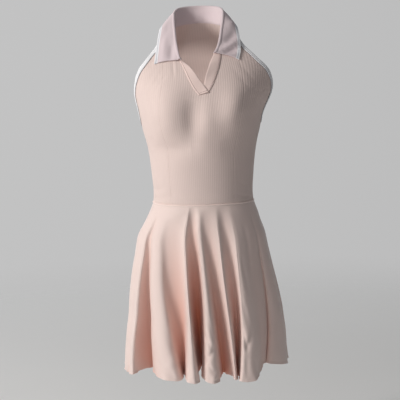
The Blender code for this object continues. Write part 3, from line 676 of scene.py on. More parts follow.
def knit_stitches(tree, across, along, wale, course):
    """Height of plain knit: rows of V stitches, from two sine waves of wale and course length."""
    turn = 2 * math.pi
    wave = maths(tree, "SINE", maths(tree, "MULTIPLY", across, turn / wale / 2))
    side = maths(tree, "ABSOLUTE", wave)
    lean = maths(tree, "MULTIPLY", side, 0.9)
    phase = maths(tree, "ADD", maths(tree, "MULTIPLY", along, turn / course), lean)
    loop = maths(tree, "MULTIPLY_ADD", maths(tree, "SINE", phase), 0.25, 0.5)
    return maths(tree, "MULTIPLY_ADD", side, 0.4, loop)


def rib_finish(colours):
    """Rib knit: painted shade darker between its ribs, with V stitches and a slight unevenness of
    the dye.
    """
    made, tree, shader = cloth_finish("rib_knit_cloth", 0.88, 0.25)
    across, along = weave_place(tree)
    # Painted shade: the pink turns towards a darker copy of itself in the grooves between the ribs.
    wave = maths(tree, "COSINE", maths(tree, "MULTIPLY", across, 2 * math.pi))
    groove = maths(tree, "POWER", maths(tree, "MULTIPLY_ADD", wave, 0.5, 0.5), 2.0)
    depth = maths(tree, "MULTIPLY", groove, 0.11)
    dye = dyed(tree, colours.pink, 16, 0.955, 1.035)
    cloth = mix_colour(tree, depth, dye, shade(colours.pink, 0.62))
    metres = maths(tree, "MULTIPLY", across, RIB_PITCH)
    stitches = knit_stitches(tree, metres, along, 0.0015, 0.0016)
    fuzz = maths(tree, "MULTIPLY_ADD", noise(tree, 1500), 0.5, stitches)
    finish_with(tree, shader, cloth, fuzz, 0.0002, 0.7)
    return made


def jersey_finish(colours):
    """Smooth jersey: a soft sheen, painted shade that is redder and darker deep between the flutes,
    fine wales, and a painted highlight as a lighter line at the waist seam."""
    made, tree, shader = cloth_finish("skirt_jersey_cloth", 0.62, 0.35)
    across, along = weave_place(tree)
    fold = add_node(tree, "ShaderNodeAttribute", {"attribute_name": "fold"}).outputs["Fac"]
    # Partly painted light: the skirt's pink is a few percent lighter than the bodice's because the
    # skirt stands in brighter light. The noise is the unevenness of the dye.
    dye = dyed(tree, colours.pink, 11, 1.01, 1.08)
    # Painted shade: the fold attribute, how deep the cloth lies between the flutes, mixes in the
    # deep colour.
    cloth = mix_colour(tree, maths(tree, "POWER", fold, 1.2), dye, colours.deep)
    # Painted highlight: a lighter band of pink along the waist seam, on top of the waist ridge.
    seam = maths(tree, "LESS_THAN", along, 0.0030)
    cloth = mix_colour(tree, seam, cloth, shade(colours.pink, 1.12))
    stitches = knit_stitches(tree, across, along, 0.0011, 0.0012)
    fuzz = maths(tree, "MULTIPLY_ADD", noise(tree, 1300), 0.6, stitches)
    finish_with(tree, shader, cloth, fuzz, 0.0001, 0.5)
    return made


def collar_finish(colours):
    """Collar knit: fine ribs across it, and two white stripes with a line along its outer edge."""
    made, tree, shader = cloth_finish("collar_knit_cloth", 0.85, 0.2)
    across, along = weave_place(tree)
    worn = maths(tree, "MULTIPLY_ADD", noise(tree, 90), 0.0008, along)
    stripes = add_node(tree, "ShaderNodeValToRGB", i0=maths(tree, "DIVIDE", worn, 0.012))
    ramp = stripes.color_ramp
    stops = ((0.0, 1), (0.30, 1), (0.335, 0), (0.43, 0), (0.465, 1), (0.68, 1), (0.72, 0))
    ramp.elements[0].position, ramp.elements[1].position = stops[0][0], stops[-1][0]
    for position, _ in stops[1:-1]:
        ramp.elements.new(position)
    for element, (_, value) in zip(ramp.elements, stops):
        element.color = (value, value, value, 1)
    edge = maths(tree, "LESS_THAN", worn, 0.0068)
    body = mix_colour(tree, edge, dyed(tree, colours.collar, 20, 0.96, 1.04), colours.line)
    cloth = mix_colour(tree, stripes.outputs[0], body, colours.white)
    wave = maths(tree, "SINE", maths(tree, "MULTIPLY", across, 2 * math.pi / 0.0018))
    ribs = maths(tree, "MULTIPLY_ADD", wave, 0.3, 0.4)
    fuzz = maths(tree, "MULTIPLY_ADD", noise(tree, 1400), 0.6, ribs)
    finish_with(tree, shader, cloth, fuzz, 0.00022, 0.8)
    return made


def plain_finish(name, colour, roughness, wale, grain):
    """Fine knit of one colour, for the bands, the binding and the thread."""
    made, tree, shader = cloth_finish(name, roughness, 0.2)
    stitches = knit_stitches(tree, *weave_place(tree), wale, wale * 1.1)
    fuzz = maths(tree, "MULTIPLY_ADD", noise(tree, 1500), 0.5, stitches)
    finish_with(tree, shader, dyed(tree, colour, 40, 0.96, 1.04), fuzz, grain, 0.8)
    return made


def thread_finish(name, colour):
    """Sewing thread."""
    return plain_finish(name, colour, 0.6, 0.0006, 0.00005)


def binding_finish(colours):
    """White tape with a grey line of painted shade in the groove between its two ridges and along
    its inner edge.
    """
    made = plain_finish("binding_tape", colours.white, 0.75, 0.0011, 0.00012)
    tree = made.node_tree
    colour = tree.nodes["Principled BSDF"].inputs["Base Color"]
    along = weave_place(tree)[1]
    # Painted shade: the lilac line colour darkens the groove between the ridges and the inner edge
    # of the tape.
    groove = maths(tree, "COMPARE", along, 0.0037, 0.0004)
    edge = maths(tree, "LESS_THAN", along, 0.0005)
    both = maths(tree, "MULTIPLY", maths(tree, "MAXIMUM", groove, edge), 0.75)
    dye = colour.links[0].from_socket
    tree.links.new(mix_colour(tree, both, dye, colours.line), colour)
    return made


# Bodice


def half_seam(height):
    """Half the gap of a seam as an angle."""
    return HALF_GAP / half_width(height)


def knit_panel(node, low, angles, cut, ribs, rows, finish):
    """Wall of rib knit over the torso, with its place in ribs and metres.

    Angles(across, height) lays it between its seams, across from low to 1. Cut holds the places
    across and the heights of its top edge, in any order. Columns run from the waist to their own
    top. The outside is the surface moved out by half the wall, by a rib that is half a cosine
    wave, and by the creases, and it sinks into the seams by bell curves.
    """
    sizes = bpy.context.scene.dress_sizes
    count = np.arange(ribs * RIB_STEPS + 1)
    across = np.linspace(low, 1, len(count))[:, None]
    order = np.argsort(cut[0])
    tops = np.interp(across, cut[0][order], cut[1][order])
    bottom = WAIST + HALF_GAP
    height = bottom + np.linspace(0, 1, rows) * (tops - bottom)
    angle = angles(across, height)
    points = torso(angle, height)
    side = 1 if node == "back" else -1
    points[:, -1, 1] = side * np.maximum(side * points[:, -1, 1], HALF_GAP)
    normal = torso_normal(angle, height)
    phase = count[:, None] / RIB_STEPS
    rib = sizes.rib * (0.5 - 0.5 * np.cos(2 * np.pi * phase))
    edge = np.minimum(count, count[-1] - count)[:, None] * RIB_PITCH / RIB_STEPS
    low_down = np.clip((-0.08 - height) / 0.08, 0.35, 1)
    sink = bell(edge, *SEAM_SINK) * low_down + bell(height - WAIST, *WAIST_SINK)
    lines = BACK_CREASES if node == "back" else FRONT_CREASES
    fold = creases(points[..., 0], points[..., 2], lines)
    outer = points + normal * (sizes.knit / 2 + rib - sink + fold)[..., None]
    inner = points + normal * (fold - sizes.knit / 2)[..., None]
    uv = np.stack(np.broadcast_arrays(phase, height - WAIST), -1)
    return wall_piece(f"dress_{node}", node, outer, inner, finish, uv)


def build_front_centre(finish):
    """Centre front, cut along the two bands, the neck seam and the shoulder seams."""
    shoulder = np.linspace(SHOULDER_NECK, SHOULDER_PRINCESS, 4)
    left, right = (along_rows(BANDS[side], "seam_x seam_z", V_STEPS) for side in (-1, 1))
    x, z = np.concatenate([
        (-shoulder, shoulder_height(shoulder)),
        neck_edge(11, 16),
        (left[0] + BAND_INSET, left[1]),
        (right[0] - BAND_INSET, right[1]),
        neck_edge(1, 6),
        (shoulder, shoulder_height(shoulder)),
    ], 1)

    def angles(across, height):
        """A share of the angle of the princess seams."""
        return across * (princess_angle(height) - half_seam(height))

    cut = angle_at(x, z) / princess_angle(z), z
    return knit_panel("front_centre", -1, angles, cut, RIBS_CENTRE, ROWS_CENTRE, finish)


def build_front_side(name, side, finish):
    """Side front from the princess seam to the side seam, cut along the armhole."""
    angle, height = armhole(ARMHOLE_STEPS, ARMHOLE_INSET)
    front = angle <= math.pi / 2
    angle, height = angle[front], height[front]
    seam = princess_angle(height)
    share = np.concatenate([[0], (angle - seam) / (math.pi / 2 - seam)])
    height = np.concatenate([[shoulder_height(SHOULDER_PRINCESS)], height])

    def angles(across, height):
        """Straight from the angle of the princess seam to that of the side seam."""
        low = princess_angle(height) + half_seam(height)
        return side * (low + across * (math.pi / 2 - half_seam(height) - low))

    node, cut = f"front_side_{name}", (share, height)
    return knit_panel(node, 0, angles, cut, RIBS_SIDE, ROWS_SIDE, finish)


def build_back(finish):
    """Back in one piece, cut along the armholes, the shoulder seams and the neck."""
    angle, height = armhole(ARMHOLE_STEPS, ARMHOLE_INSET)
    rear = angle >= math.pi / 2
    neck_x, neck_z = neck_edge(5, 9)
    angle = math.pi - np.concatenate([angle[rear], angle_at(neck_x, neck_z, 1)])
    height = np.concatenate([height[rear], neck_z])

    def spread(height):
        """Angle from the middle of the back to the panel's edge."""
        return math.pi / 2 * column(BACK_SPREAD, "share", height)

    def angles(across, height):
        """A share of the spread, to both sides of the middle of the back."""
        return math.pi - across * (spread(height) - half_seam(height))

    share = angle / spread(height)
    cut = np.concatenate([-share, share]), np.concatenate([height, height])
    return knit_panel("back", -1, angles, cut, RIBS_BACK, ROWS_BACK, finish)


# Bands


def on_chest(x, z, lift):
    """Points on the front at x and z, moved out by lift."""
    angle = angle_at(x, z)
    fold = creases(x, z, FRONT_CREASES)
    return torso(angle, z) + torso_normal(angle, z) * (lift + fold)[..., None]


def band_place(side, rows, across):
    """x and z over a neck band: rows up it, across from 0 at its seam to 1 at its open edge."""
    lines = along_rows(BANDS[side], "seam_x seam_z edge_x edge_z", rows)
    seam_x, seam_z, edge_x, edge_z = (line[:, None] for line in lines)
    return seam_x + across * (edge_x - seam_x), seam_z + across * (edge_z - seam_z)


def band_lift(side, up, across):
    """How far the middle of a band lies over the chest: level across, with bell curves up it.

    Its seam side lies on the front panel. Its open side lies lower and stands off near the middle
    of its length. At the bottom the left band rises over the right one, which dips under it.
    """
    if side < 0:
        seam = BAND_LIFT
        edge = 0.0009 + 0.0026 * bell(up, 0.30) + 0.0036 * bell(up - 0.55, 0.26)
    else:
        seam = BAND_LIFT - 0.0007 * bell(up, 0.16)
        edge = 0.0008 - 0.0015 * bell(up, 0.22) + 0.0050 * bell(up - 0.6, 0.28)
    return seam * (1 - across) + edge * across


def build_band(name, side, finish):
    """Neck band of two layers: a wall whose long edges are rounded and pressed flat."""
    thick = bpy.context.scene.dress_sizes.band
    up = np.linspace(0, 1, BAND_ROWS)[:, None]
    across = np.linspace(-BAND_TUCK, 1, BAND_COLUMNS)[None, :]
    x, z = band_place(side, BAND_ROWS, across)
    lift = band_lift(side, up, np.clip(across, 0, 1))
    edge = np.minimum(across + BAND_TUCK, 1 - across)
    press = bell(edge, *BAND_EDGE) + bell(across - 0.14, *BAND_SEAM)
    outer = on_chest(x, z, lift + thick / 2 - press)
    inner = on_chest(x, z, lift - thick / 2 + press * 0.5)
    width = distance_along(outer.swapaxes(0, 1))[-1].mean()
    length = distance_along(outer)[-1].mean()
    uv = np.stack(np.broadcast_arrays(across * width, up * length), -1)
    node = f"placket_{name}"
    return wall_piece(f"dress_band_{name}", node, outer, inner, finish, uv)


# Bindings


def surface_line(side, count, inset, lift):
    """Line along the armhole on the cloth, set in from its edge and lifted off it."""
    angle, height = armhole(count, inset)
    return torso(side * angle, height) + torso_normal(side * angle, height) * lift


def binding_profile(wide):
    """Section of the binding: how far each point is past the armhole edge and off the cloth.

    It is a hairpin. Its outer face has two ridges, each half a sine wave, turns round the edge in
    an arc and runs back inside. Its inner face follows along the knit.
    """
    lip, nose = 0.0008, 0.0017
    outside = np.linspace(-wide, -lip, 15)
    part = (outside + wide) / wide
    ridges = 0.00042 * np.abs(np.sin(2 * np.pi * part)) ** 0.7 * (part < 1)
    turn = np.radians(np.linspace(75, -75, 7))
    inside = np.linspace(-lip, -0.0062, 7)
    stretches = (
        (outside, 0.0020 + ridges - 0.0006 * bell(outside + wide, 0.0006)),
        (-lip + nose * np.cos(turn), 0.0004 + nose * np.sin(turn)),
        (inside, -0.0014),
        (inside[::-1], -0.0007),
        (0.0002, np.array((-0.0003, 0.0010))),
        (outside[::-1], 0.00112),
    )
    return np.concatenate([np.broadcast_arrays(*stretch) for stretch in stretches], 1).T


def build_binding(name, side, finish):
    """Binding: its section carried all the way round the armhole."""
    section = binding_profile(bpy.context.scene.dress_sizes.binding)
    lines = [surface_line(side, BINDING_STEPS, -past, lift) for past, lift in section]
    rings = np.stack(lines, 1)[:-1]
    length = np.arange(BINDING_STEPS - 1)[:, None] * BINDING_PITCH
    uv = np.stack(np.broadcast_arrays(length, distance_along(rings[0])), -1)
    faces = ring_faces(*rings.shape[:2], True)
    made, node = f"dress_binding_{name}", f"binding_{name}"
    return piece(made, node, rings, faces, finish, uv, sharp=60)


# Collar


def collar_grid(rows):
    """Middle of the collar's wall, from the neck seam up the stand, round the roll and down.

    The stand is straight, the roll is an arc and the fall a parabola. Returns the grid (columns
    down the collar, rows along it), the place of each column from 0 at the roll to 1 at the outer
    edge, and the place of each row in the table.
    """
    at = np.linspace(0, len(COLLAR["face"]) - 1, rows)
    back = np.nonzero(COLLAR["face"] > 0)[0]
    face = np.where((at > back[0] - 1) & (at < back[-1] + 1), 1, -1)
    x, height = along_rows(COLLAR, "seam_x seam_z", rows)
    angle = angle_at(x, height, face)
    seam, normal = torso(angle, height), torso_normal(angle, height)
    along = np.gradient(seam, axis=0)
    along = unit(along - normal * np.sum(along * normal, -1, keepdims=True))
    off = unit(np.cross(normal, along))
    roll = np.stack(along_rows(COLLAR, "roll_x roll_y roll_z", rows), -1)
    edge = np.stack(along_rows(COLLAR, "edge_x edge_y edge_z", rows), -1)
    up = np.array([0, 0, 1.0])
    out = unit((edge - roll) * (1, 1, 0))
    radius, bow, lead = 0.0026, 0.003, seam + off * 0.003
    fall = roll + out * 2 * radius
    down = np.linspace(0, 1, 37)[1:]
    columns = [seam + off * SEAM]
    columns += [lead + (roll - lead) * part for part in np.linspace(0, 1, 10)]
    for turn in np.radians(np.linspace(20, 180, 9)):
        columns.append(roll + radius * (out * (1 - math.cos(turn)) + up * math.sin(turn)))
    for part in down:
        bent = unit(out + up) * (bow * 4 * part * (1 - part))
        columns.append(fall + (edge - fall) * part + bent)
    share = np.concatenate([np.zeros(len(columns) - len(down)), down])
    return np.stack(columns), share[:, None], at[None, :]


def build_collar(finish):
    """Collar folded over its roll, with soft troughs in its fall and a rounded striped edge."""
    thick = bpy.context.scene.dress_sizes.collar
    grid, share, at = collar_grid(COLLAR_ROWS)
    normal = unit(np.cross(np.gradient(grid, axis=0), np.gradient(grid, axis=1)))
    pitch = (COLLAR_PITCH, COLLAR_WIDTH)
    fold = creases(at * COLLAR_PITCH, share * COLLAR_WIDTH, COLLAR_CREASES, pitch)
    fold *= (share > 0) * np.minimum(1, (1 - share) * 6 + 0.25)
    middle = grid + normal * fold[..., None]
    outer = middle + normal * thick / 2
    inner = middle - normal * thick / 2
    from_edge = distance_along(middle[::-1])[::-1]
    uv = np.stack(np.broadcast_arrays(at * COLLAR_PITCH, from_edge), -1)
    name, slot = "dress_collar", "collar_knit"
    return wall_piece(name, "collar", outer, inner, finish, uv, bulge=0.0007)


# Skirt


def fold_line(name, place, turn=0):
    """A fold's value along the skirt: a cubic B-spline over the rows of the table, in a ring.

    Turn is what one time round adds.
    """
    low = np.floor(place).astype(int)
    u = place - low
    weights = ((1 - u) ** 3, 3 * u**3 - 6 * u**2 + 4, 1 + 3 * u + 3 * u**2 - 3 * u**3, u**3)
    total = 0
    for row, weight in enumerate(weights, -1):
        rounds, row = np.divmod(low + row, FOLD_COUNT)
        total = total + weight * (FOLDS[name][row] + turn * rounds)
    return total[:, None] / 6


def skirt_angle(place, height):
    """Angle round the body: a parabola down the skirt through the angles at three heights.

    Lower down, a valley's angle can pass that of its ridge, so the wall between them overhangs.
    """
    top, middle, hem = (fold_line(name, place, 360) for name in ("top", "middle", "hem"))
    upper, centre, lower = FOLD_HEIGHTS
    u = np.clip((upper - height) / (upper - lower), 0, 1)
    m = (upper - centre) / (upper - lower)
    curve = top * (u - m) * (u - 1) / m + hem * u * (u - m) / (1 - m)
    return np.radians(curve - middle * u * (u - 1) / (m * (1 - m)))


def skirt_surface(place, share):
    """Middle of the skirt's cloth, and how deep each point lies between the flutes.

    It is an ellipse at each height, scaled by a power of how far the fold has fallen.
    """
    reach, lift, start = (fold_line(name, place) for name in ("reach", "lift", "start"))
    top = WAIST - HALF_GAP
    height = top + share * (HEM + lift - top)
    fallen = np.clip((WAIST - start - height) / (WAIST - start - HEM), 0, 1)
    angle = skirt_angle(place, height)
    scale = 1 - (1 - reach) * fallen**FOLD_GROWTH
    front, back, right, left = (
        column(FLARE, name, height) for name in ("front", "back", "right", "left")
    )
    depth = np.where(np.cos(angle) > 0, front, back)
    half = np.where(np.sin(angle) > 0, right, left)
    grid = np.stack([half * np.sin(angle) * scale, -depth * np.cos(angle) * scale, height], -1)
    return grid, np.clip((1 - scale) / 0.42, 0, 1)


def skirt_half(node, first, last, finish):
    """Half of the skirt between its side seams, with waist ridge, rolled hem and soft creases.

    The middle of its wall is the fluted surface moved by the creases and, near the hem, by sine
    waves along it. Bell curves down the outside make the waist ridge, the tape's line below it,
    the rolled hem and its stitch line. It sinks into the side seams.
    """
    thick = bpy.context.scene.dress_sizes.jersey
    place = np.arange(round(first * SKIRT_STEPS) - 2, round(last * SKIRT_STEPS) + 3) / SKIRT_STEPS
    at_waist = (0, 0.0015, 0.003, 0.0055, 0.008)
    at_hem = (0.982, 0.986, 0.990, 0.994, 0.9975, 1.0)
    share = np.concatenate([at_waist, np.linspace(0.012, 0.978, SKIRT_ROWS), at_hem])
    grid, fold = skirt_surface(place, share)
    across = np.gradient(grid, axis=0)
    normal = unit(np.cross(np.gradient(grid, axis=1), across))
    round_it, down = place[:, None], share * SKIRT_LENGTH
    rows = np.array(SKIRT_CREASES)
    rows = np.concatenate([rows - (FOLD_COUNT, 0, FOLD_COUNT, 0, 0, 0), rows])
    crease = creases(round_it * FOLD_WIDTH, down, rows, (FOLD_WIDTH, SKIRT_LENGTH))
    ripple = 0.0020 * np.sin(round_it * 5.3 + 0.8 * np.sin(round_it * 1.1))
    ripple += 0.0009 * np.sin(round_it * 13.7 + 1.1)
    crease += ripple * np.clip((share - 0.90) / 0.10, 0, 1) ** 2
    middle = grid + normal * crease[..., None]
    ridge = bell(down - 0.0016, *WAIST_RIDGE)
    tape = bell(down - 0.0072, *TAPE_LINE) * (0.6 + 0.4 * np.sin(round_it * 1.9))
    rolled = bell(down - SKIRT_LENGTH, *HEM_ROLL)
    rolled -= bell(down - SKIRT_LENGTH + 0.0058, *HEM_GROOVE)
    half = slice(2, -2)
    middle, normal, across = middle[half], normal[half], unit(across[half])
    middle[0] += across[0] * HALF_GAP
    middle[-1] -= across[-1] * HALF_GAP
    count = np.arange(len(middle))
    edge = np.minimum(count, count[-1] - count)[:, None] * 0.0035
    relief = ridge - tape[half] + rolled - bell(edge, *SIDE_SINK)
    outer = middle + normal * (thick / 2 + relief)[..., None]
    inner = middle - normal * (thick / 2 + rolled)[..., None]
    uv = np.stack(np.broadcast_arrays(distance_along(middle[:, -1])[:, None], down), -1)
    # The fold attribute is the mask of the painted shade between the flutes.
    values, slot = {"fold": fold[half]}, "skirt_jersey"
    made = wall_piece(f"dress_{node}", node, outer, inner, finish, uv, values, 0.0008)
    return made, outer


# Sewing


def stitch_row(line, out, pitch, radius):
    """Stitches along a line: short spindles, each a row of rings whose radius follows an ellipse,
    bowed off the cloth by a cosine.

    Line and out are (points, 3): the path on the cloth and the way off it.
    """
    length = distance_along(line)
    count = max(int(length[-1] / pitch), 1)
    start = (np.arange(count) + 0.5) * length[-1] / count
    part = np.linspace(-0.38, 0.38, STITCH_RINGS)
    at = start[:, None] + part * pitch
    centre, off = (
        np.stack([np.interp(at, length, path[:, k]) for k in range(3)], -1) for path in (line, out)
    )
    off = unit(off)
    side = np.cross(unit(np.gradient(centre, axis=1)), off)
    thick = radius * np.sqrt(np.maximum(1 - (part / 0.42) ** 2, 0.05))
    turn = np.linspace(0, 2 * np.pi, STITCH_SIDES + 1)[:-1, None]
    ring = off[:, :, None] * np.cos(turn) + side[:, :, None] * np.sin(turn)
    bow = off * (radius * np.cos(np.pi * part))[:, None]
    return (centre + bow)[:, :, None] + ring * thick[:, None, None]


def stitch_piece(name, rows, finish):
    """Joins rows of stitches into one mesh: six-sided spindles with flat ends."""
    rings = np.concatenate(rows)
    grid = np.arange(rings.size // 3).reshape(rings.shape[:3])
    ends = np.concatenate([grid[:, 0], grid[:, -1, ::-1]])
    along, round_it = np.arange(STITCH_RINGS)[:, None] * 0.0006, np.arange(STITCH_SIDES) * 0.0002
    uv = np.tile(np.stack(np.broadcast_arrays(along, round_it), -1), (len(rings), 1, 1, 1))
    faces = quads_between(grid[:, :-1], grid[:, 1:]), ends
    return piece(name, None, rings, faces, finish, uv)


def band_stitches(side, sizes):
    """Row of stitches up a band, near its seam. It starts above the part that lies under the left
    band, and both rows end below the collar."""
    up, across = np.linspace(0, 1, 160)[:, None], np.full((1, 1), 0.10)
    x, z = band_place(side, len(up), across)
    line = on_chest(x, z, band_lift(side, up, across) + sizes.band / 2 - 0.0001)[:, 0]
    out = torso_normal(angle_at(x, z), z)[:, 0]
    keep = slice(0 if side < 0 else 12, 150)
    return stitch_row(line[keep], out[keep], sizes.stitch, THREAD_RADIUS["band"])


def tack_stitches(sizes):
    """Row of stitches across the bottom of the left band."""
    up, across = np.full((1, 1), 0.035), np.linspace(0.05, 0.95, 60)[None, :]
    x, z = band_place(-1, up[0] * (len(BANDS[-1]["seam_x"]) - 1), across)
    line = on_chest(x, z, band_lift(-1, up, across) + sizes.band / 2)[0]
    out = torso_normal(angle_at(x, z), z)[0]
    return stitch_row(line, out, sizes.stitch, THREAD_RADIUS["tack"])


def binding_stitches(side, sizes):
    """Row of stitches along the inner edge of a binding."""
    line = surface_line(side, 600, sizes.binding + 0.0004, 0.0012)
    angle, height = armhole(600, sizes.binding)
    out = torso_normal(side * angle, height)
    return stitch_row(line, out, sizes.stitch, THREAD_RADIUS["binding"])


def hem_stitches(outer, pitch):
    """Row of stitches along the hem, on the fourth line of the cloth from its edge."""
    line = outer[:, -4]
    out = unit(np.cross(np.gradient(line, axis=0), line - outer[:, -5]))
    out *= np.sign(np.sum(out * (line - (0, 0, HEM)), -1).mean())
    return stitch_row(line, out, pitch, THREAD_RADIUS["hem"])


# Stage


def link(name, data):
    """Adds an object to the scene."""
    thing = bpy.data.objects.new(name, data)
    bpy.context.scene.collection.objects.link(thing)
    return thing


def aimed(name, data, place, aim, roll=0.0):
    """Adds a light or the camera, which looks from its place at its aim, rolled by an angle."""
    ahead = unit(np.array(aim) - np.array(place))
    right = unit(np.cross(ahead, (0, 0, 1)))
    up = np.cross(right, ahead)
    turn = np.array(((math.cos(roll), -math.sin(roll)), (math.sin(roll), math.cos(roll))))
    right, up = turn @ np.stack([right, up])
    thing = link(name, data)
    thing.matrix_world = Matrix((*np.stack([right, up, -ahead, place], -1), (0, 0, 0, 1)))
    return thing


def area_light(name, place, size, power, colour):
    """A large soft light that points at the dress."""
    data = bpy.data.lights.new(name, "AREA")
    data.shape = "DISK"
    data.size, data.energy, data.color = size, power, colour
    return aimed(name, data, place, LIGHT_AIM)


def build_floor(height):
    """Pale round floor that fades away smoothly with the distance from its middle."""
    angle = np.linspace(0, 2 * np.pi, FLOOR_SIDES + 1)[:-1]
    rim = [FLOOR_RADIUS * np.cos(angle), FLOOR_RADIUS * np.sin(angle), 0 * angle + height]
    mesh = bpy.data.meshes.new("stage_floor")
    mesh.from_pydata(np.stack(rim, -1), [], [tuple(range(FLOOR_SIDES))])
    pale, tree, shader = cloth_finish("floor_pale", 0.9, 0.0)
    grey = mix_colour(tree, noise(tree, 1.5), (0.78, 0.78, 0.77), (0.82, 0.82, 0.81))
    tree.links.new(grey, shader.inputs["Base Color"])
    place = add_node(tree, "ShaderNodeTexCoord").outputs["Object"]
    away = add_node(tree, "ShaderNodeVectorMath", {"operation": "LENGTH"}, i0=place)
    fade = add_node(
        tree, "ShaderNodeMapRange", {"interpolation_type": "SMOOTHSTEP"},
        i0=away.outputs["Value"], i1=1.3, i2=3.6, i3=0.0, i4=1.0,
    )
    clear = add_node(tree, "ShaderNodeBsdfTransparent").outputs[0]
    sockets = {"i0": fade.outputs[0], "i1": shader.outputs[0], "i2": clear}
    both = add_node(tree, "ShaderNodeMixShader", **sockets)
    tree.links.new(both.outputs[0], tree.nodes["Material Output"].inputs[0])
    mesh.materials.append(pale)
    link("stage_floor", mesh)


def build_air():
    """Air that glows at the viewer's left, darker to the right and lighter behind the dress."""
    world = bpy.data.worlds.new("stage_world")
    world.use_nodes = True
    tree = world.node_tree
    place = add_node(tree, "ShaderNodeTexCoord").outputs["Generated"]
    side = add_node(tree, "ShaderNodeSeparateXYZ", i0=place)
    share = maths(tree, "MULTIPLY_ADD", side.outputs[0], 0.5, 0.5)
    glow = mix_colour(tree, share, (0.46, 0.46, 0.46), (0.05, 0.05, 0.055))
    behind = maths(tree, "MULTIPLY", maths(tree, "MAXIMUM", side.outputs[1], 0.0), 0.55)
    glow = mix_colour(tree, behind, glow, (0.75, 0.75, 0.75))
    tree.links.new(glow, tree.nodes["Background"].inputs[0])
    bpy.context.scene.world = world


def build_camera(lens):
    """Camera at the photo's angle."""
    data = bpy.data.cameras.new("stage_camera")
    data.sensor_width, data.lens = 36, lens
    data.clip_start, data.clip_end = 0.05, 60
    roll = math.radians(CAMERA_ROLL)
    bpy.context.scene.camera = aimed("stage_camera", data, CAMERA_PLACE, CAMERA_AIM, roll)


class DRESS_OT_bodice(bpy.types.Operator):
    """Rib-knit bodice: centre front, two side fronts and the back"""

    bl_idname = "dress.bodice"
    bl_label = "Bodice"

    def execute(self, context):
        finish = rib_finish(context.scene.dress_colours)
        centre = build_front_centre(finish)
        sides = [build_front_side(name, side, finish) for name, side in SIDES.items()]
        back = build_back(finish)
        return {"FINISHED"}


class DRESS_OT_bands(bpy.types.Operator):
    """The two bands of the neck opening, the left one on top at the bottom of the V"""

    bl_idname = "dress.bands"
    bl_label = "Neck bands"

    def execute(self, context):
        colour, under = context.scene.dress_colours.band, ["dress_front_centre"]
        finish = plain_finish("band_cloth_knit", colour, 0.82, 0.0012, 0.00012)
        for name, side in SIDES.items():
            made = build_band(name, side, finish)
        return {"FINISHED"}


class DRESS_OT_collar(bpy.types.Operator):
    """Polo collar, folded over its roll, with its striped edge"""

    bl_idname = "dress.collar"
    bl_label = "Collar"

    def execute(self, context):
        made = build_collar(collar_finish(context.scene.dress_colours))
        return {"FINISHED"}


class DRESS_OT_bindings(bpy.types.Operator):
    """White binding round each armhole"""

    bl_idname = "dress.bindings"
    bl_label = "Armhole bindings"

    def execute(self, context):
        finish = binding_finish(context.scene.dress_colours)
        for name, side in SIDES.items():
            made = build_binding(name, side, finish)
        return {"FINISHED"}


class DRESS_OT_skirt(bpy.types.Operator):
    """Flared skirt in two halves, with its flutes, waist ridge and rolled hem"""

    bl_idname = "dress.skirt"
    bl_label = "Skirt"

    def execute(self, context):
        colours, pitch = context.scene.dress_colours, context.scene.dress_sizes.stitch
        finish = jersey_finish(colours)
        thread = thread_finish("skirt_thread", colours.pink)
        rows = []
        for node, first, last, flat, area in (
            ("skirt_front", SIDE_LEFT - FOLD_COUNT, SIDE_RIGHT, (0.99, 0.49), 0.313),
            ("skirt_back", SIDE_RIGHT, SIDE_LEFT, (1.02, 0.50), 0.339),
        ):
            made, outer = skirt_half(node, first, last, finish)
            rows.append(hem_stitches(outer, pitch))
        stitch_piece("dress_hem_stitches", rows, thread)
        return {"FINISHED"}


class DRESS_OT_sewing(bpy.types.Operator):
    """Rows of stitches on the bands and along the bindings"""

    bl_idname = "dress.sewing"
    bl_label = "Sewing"

    def execute(self, context):
        sizes = context.scene.dress_sizes
        thread = thread_finish("band_thread", context.scene.dress_colours.thread)
        rows = [*(band_stitches(side, sizes) for side in (-1, 1)), tack_stitches(sizes)]
        stitch_piece("dress_band_stitches", rows, thread)
        # Painted shadow: the binding's real stitches are coloured near black for the shade in the
        # gaps of the stitching.
        grey = thread_finish("binding_thread_and_shadow", BINDING_THREAD_AND_SHADOW)
        rows = [binding_stitches(side, sizes) for side in (-1, 1)]
        stitch_piece("dress_binding_stitches", rows, grey)
        return {"FINISHED"}


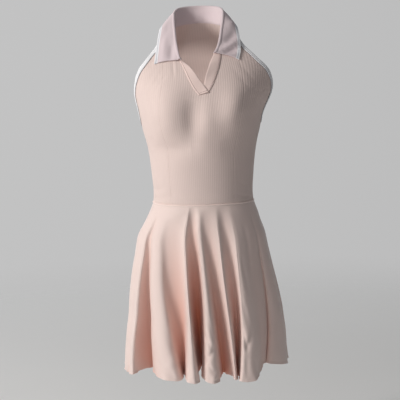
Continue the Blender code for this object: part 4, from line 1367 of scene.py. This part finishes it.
class DRESS_OT_stage(bpy.types.Operator):
    """Pale floor, soft light and the camera"""

    bl_idname = "dress.stage"
    bl_label = "Stage"

    def execute(self, context):
        stage = context.scene.dress_stage
        build_floor(stage.floor)
        build_air()
        context.scene.view_settings.view_transform = "Standard"
        area_light("stage_key", (-2.25, -1.50, 0.78), 1.0, stage.key, (1.0, 0.97, 0.94))
        area_light("stage_front", (-0.6, -3.4, 0.5), 1.6, stage.key * 0.03, (1.0, 0.98, 0.96))
        area_light("stage_back", (-1.2, 2.6, 1.2), 1.6, stage.key * 0.30, (0.97, 0.98, 1.0))
        build_camera(stage.lens)
        return {"FINISHED"}


STEPS = (
    DRESS_OT_bodice,
    DRESS_OT_bands,
    DRESS_OT_collar,
    DRESS_OT_bindings,
    DRESS_OT_skirt,
    DRESS_OT_sewing,
    DRESS_OT_stage,
)


class DRESS_PT_panel(bpy.types.Panel):
    """Sizes, colours and steps of the dress"""

    bl_idname = "DRESS_PT_panel"
    bl_label = "Tennis dress"
    bl_space_type = "VIEW_3D"
    bl_region_type = "UI"
    bl_category = "Dress"

    def draw(self, context):
        scene = context.scene
        for group in (scene.dress_sizes, scene.dress_colours, scene.dress_stage):
            box = self.layout.box()
            for name in group.__annotations__:
                box.prop(group, name)
        for step in STEPS:
            self.layout.operator(step.bl_idname)


CLASSES = (DressColours, DressSizes, DressStage, *STEPS, DRESS_PT_panel)


def register():
    """Adds the classes and the settings of the scene."""
    for made in CLASSES:
        bpy.utils.register_class(made)
    bpy.types.Scene.dress_colours = PointerProperty(type=DressColours)
    bpy.types.Scene.dress_sizes = PointerProperty(type=DressSizes)
    bpy.types.Scene.dress_stage = PointerProperty(type=DressStage)


def unregister():
    """Takes them away again."""
    for name in ("dress_stage", "dress_sizes", "dress_colours"):
        delattr(bpy.types.Scene, name)
    for made in reversed(CLASSES):
        bpy.utils.unregister_class(made)


def main():
    """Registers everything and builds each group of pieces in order."""
    register()
    for step in STEPS:
        space, name = step.bl_idname.split(".")
        getattr(getattr(bpy.ops, space), name)()


if __name__ == "__main__":
    main()
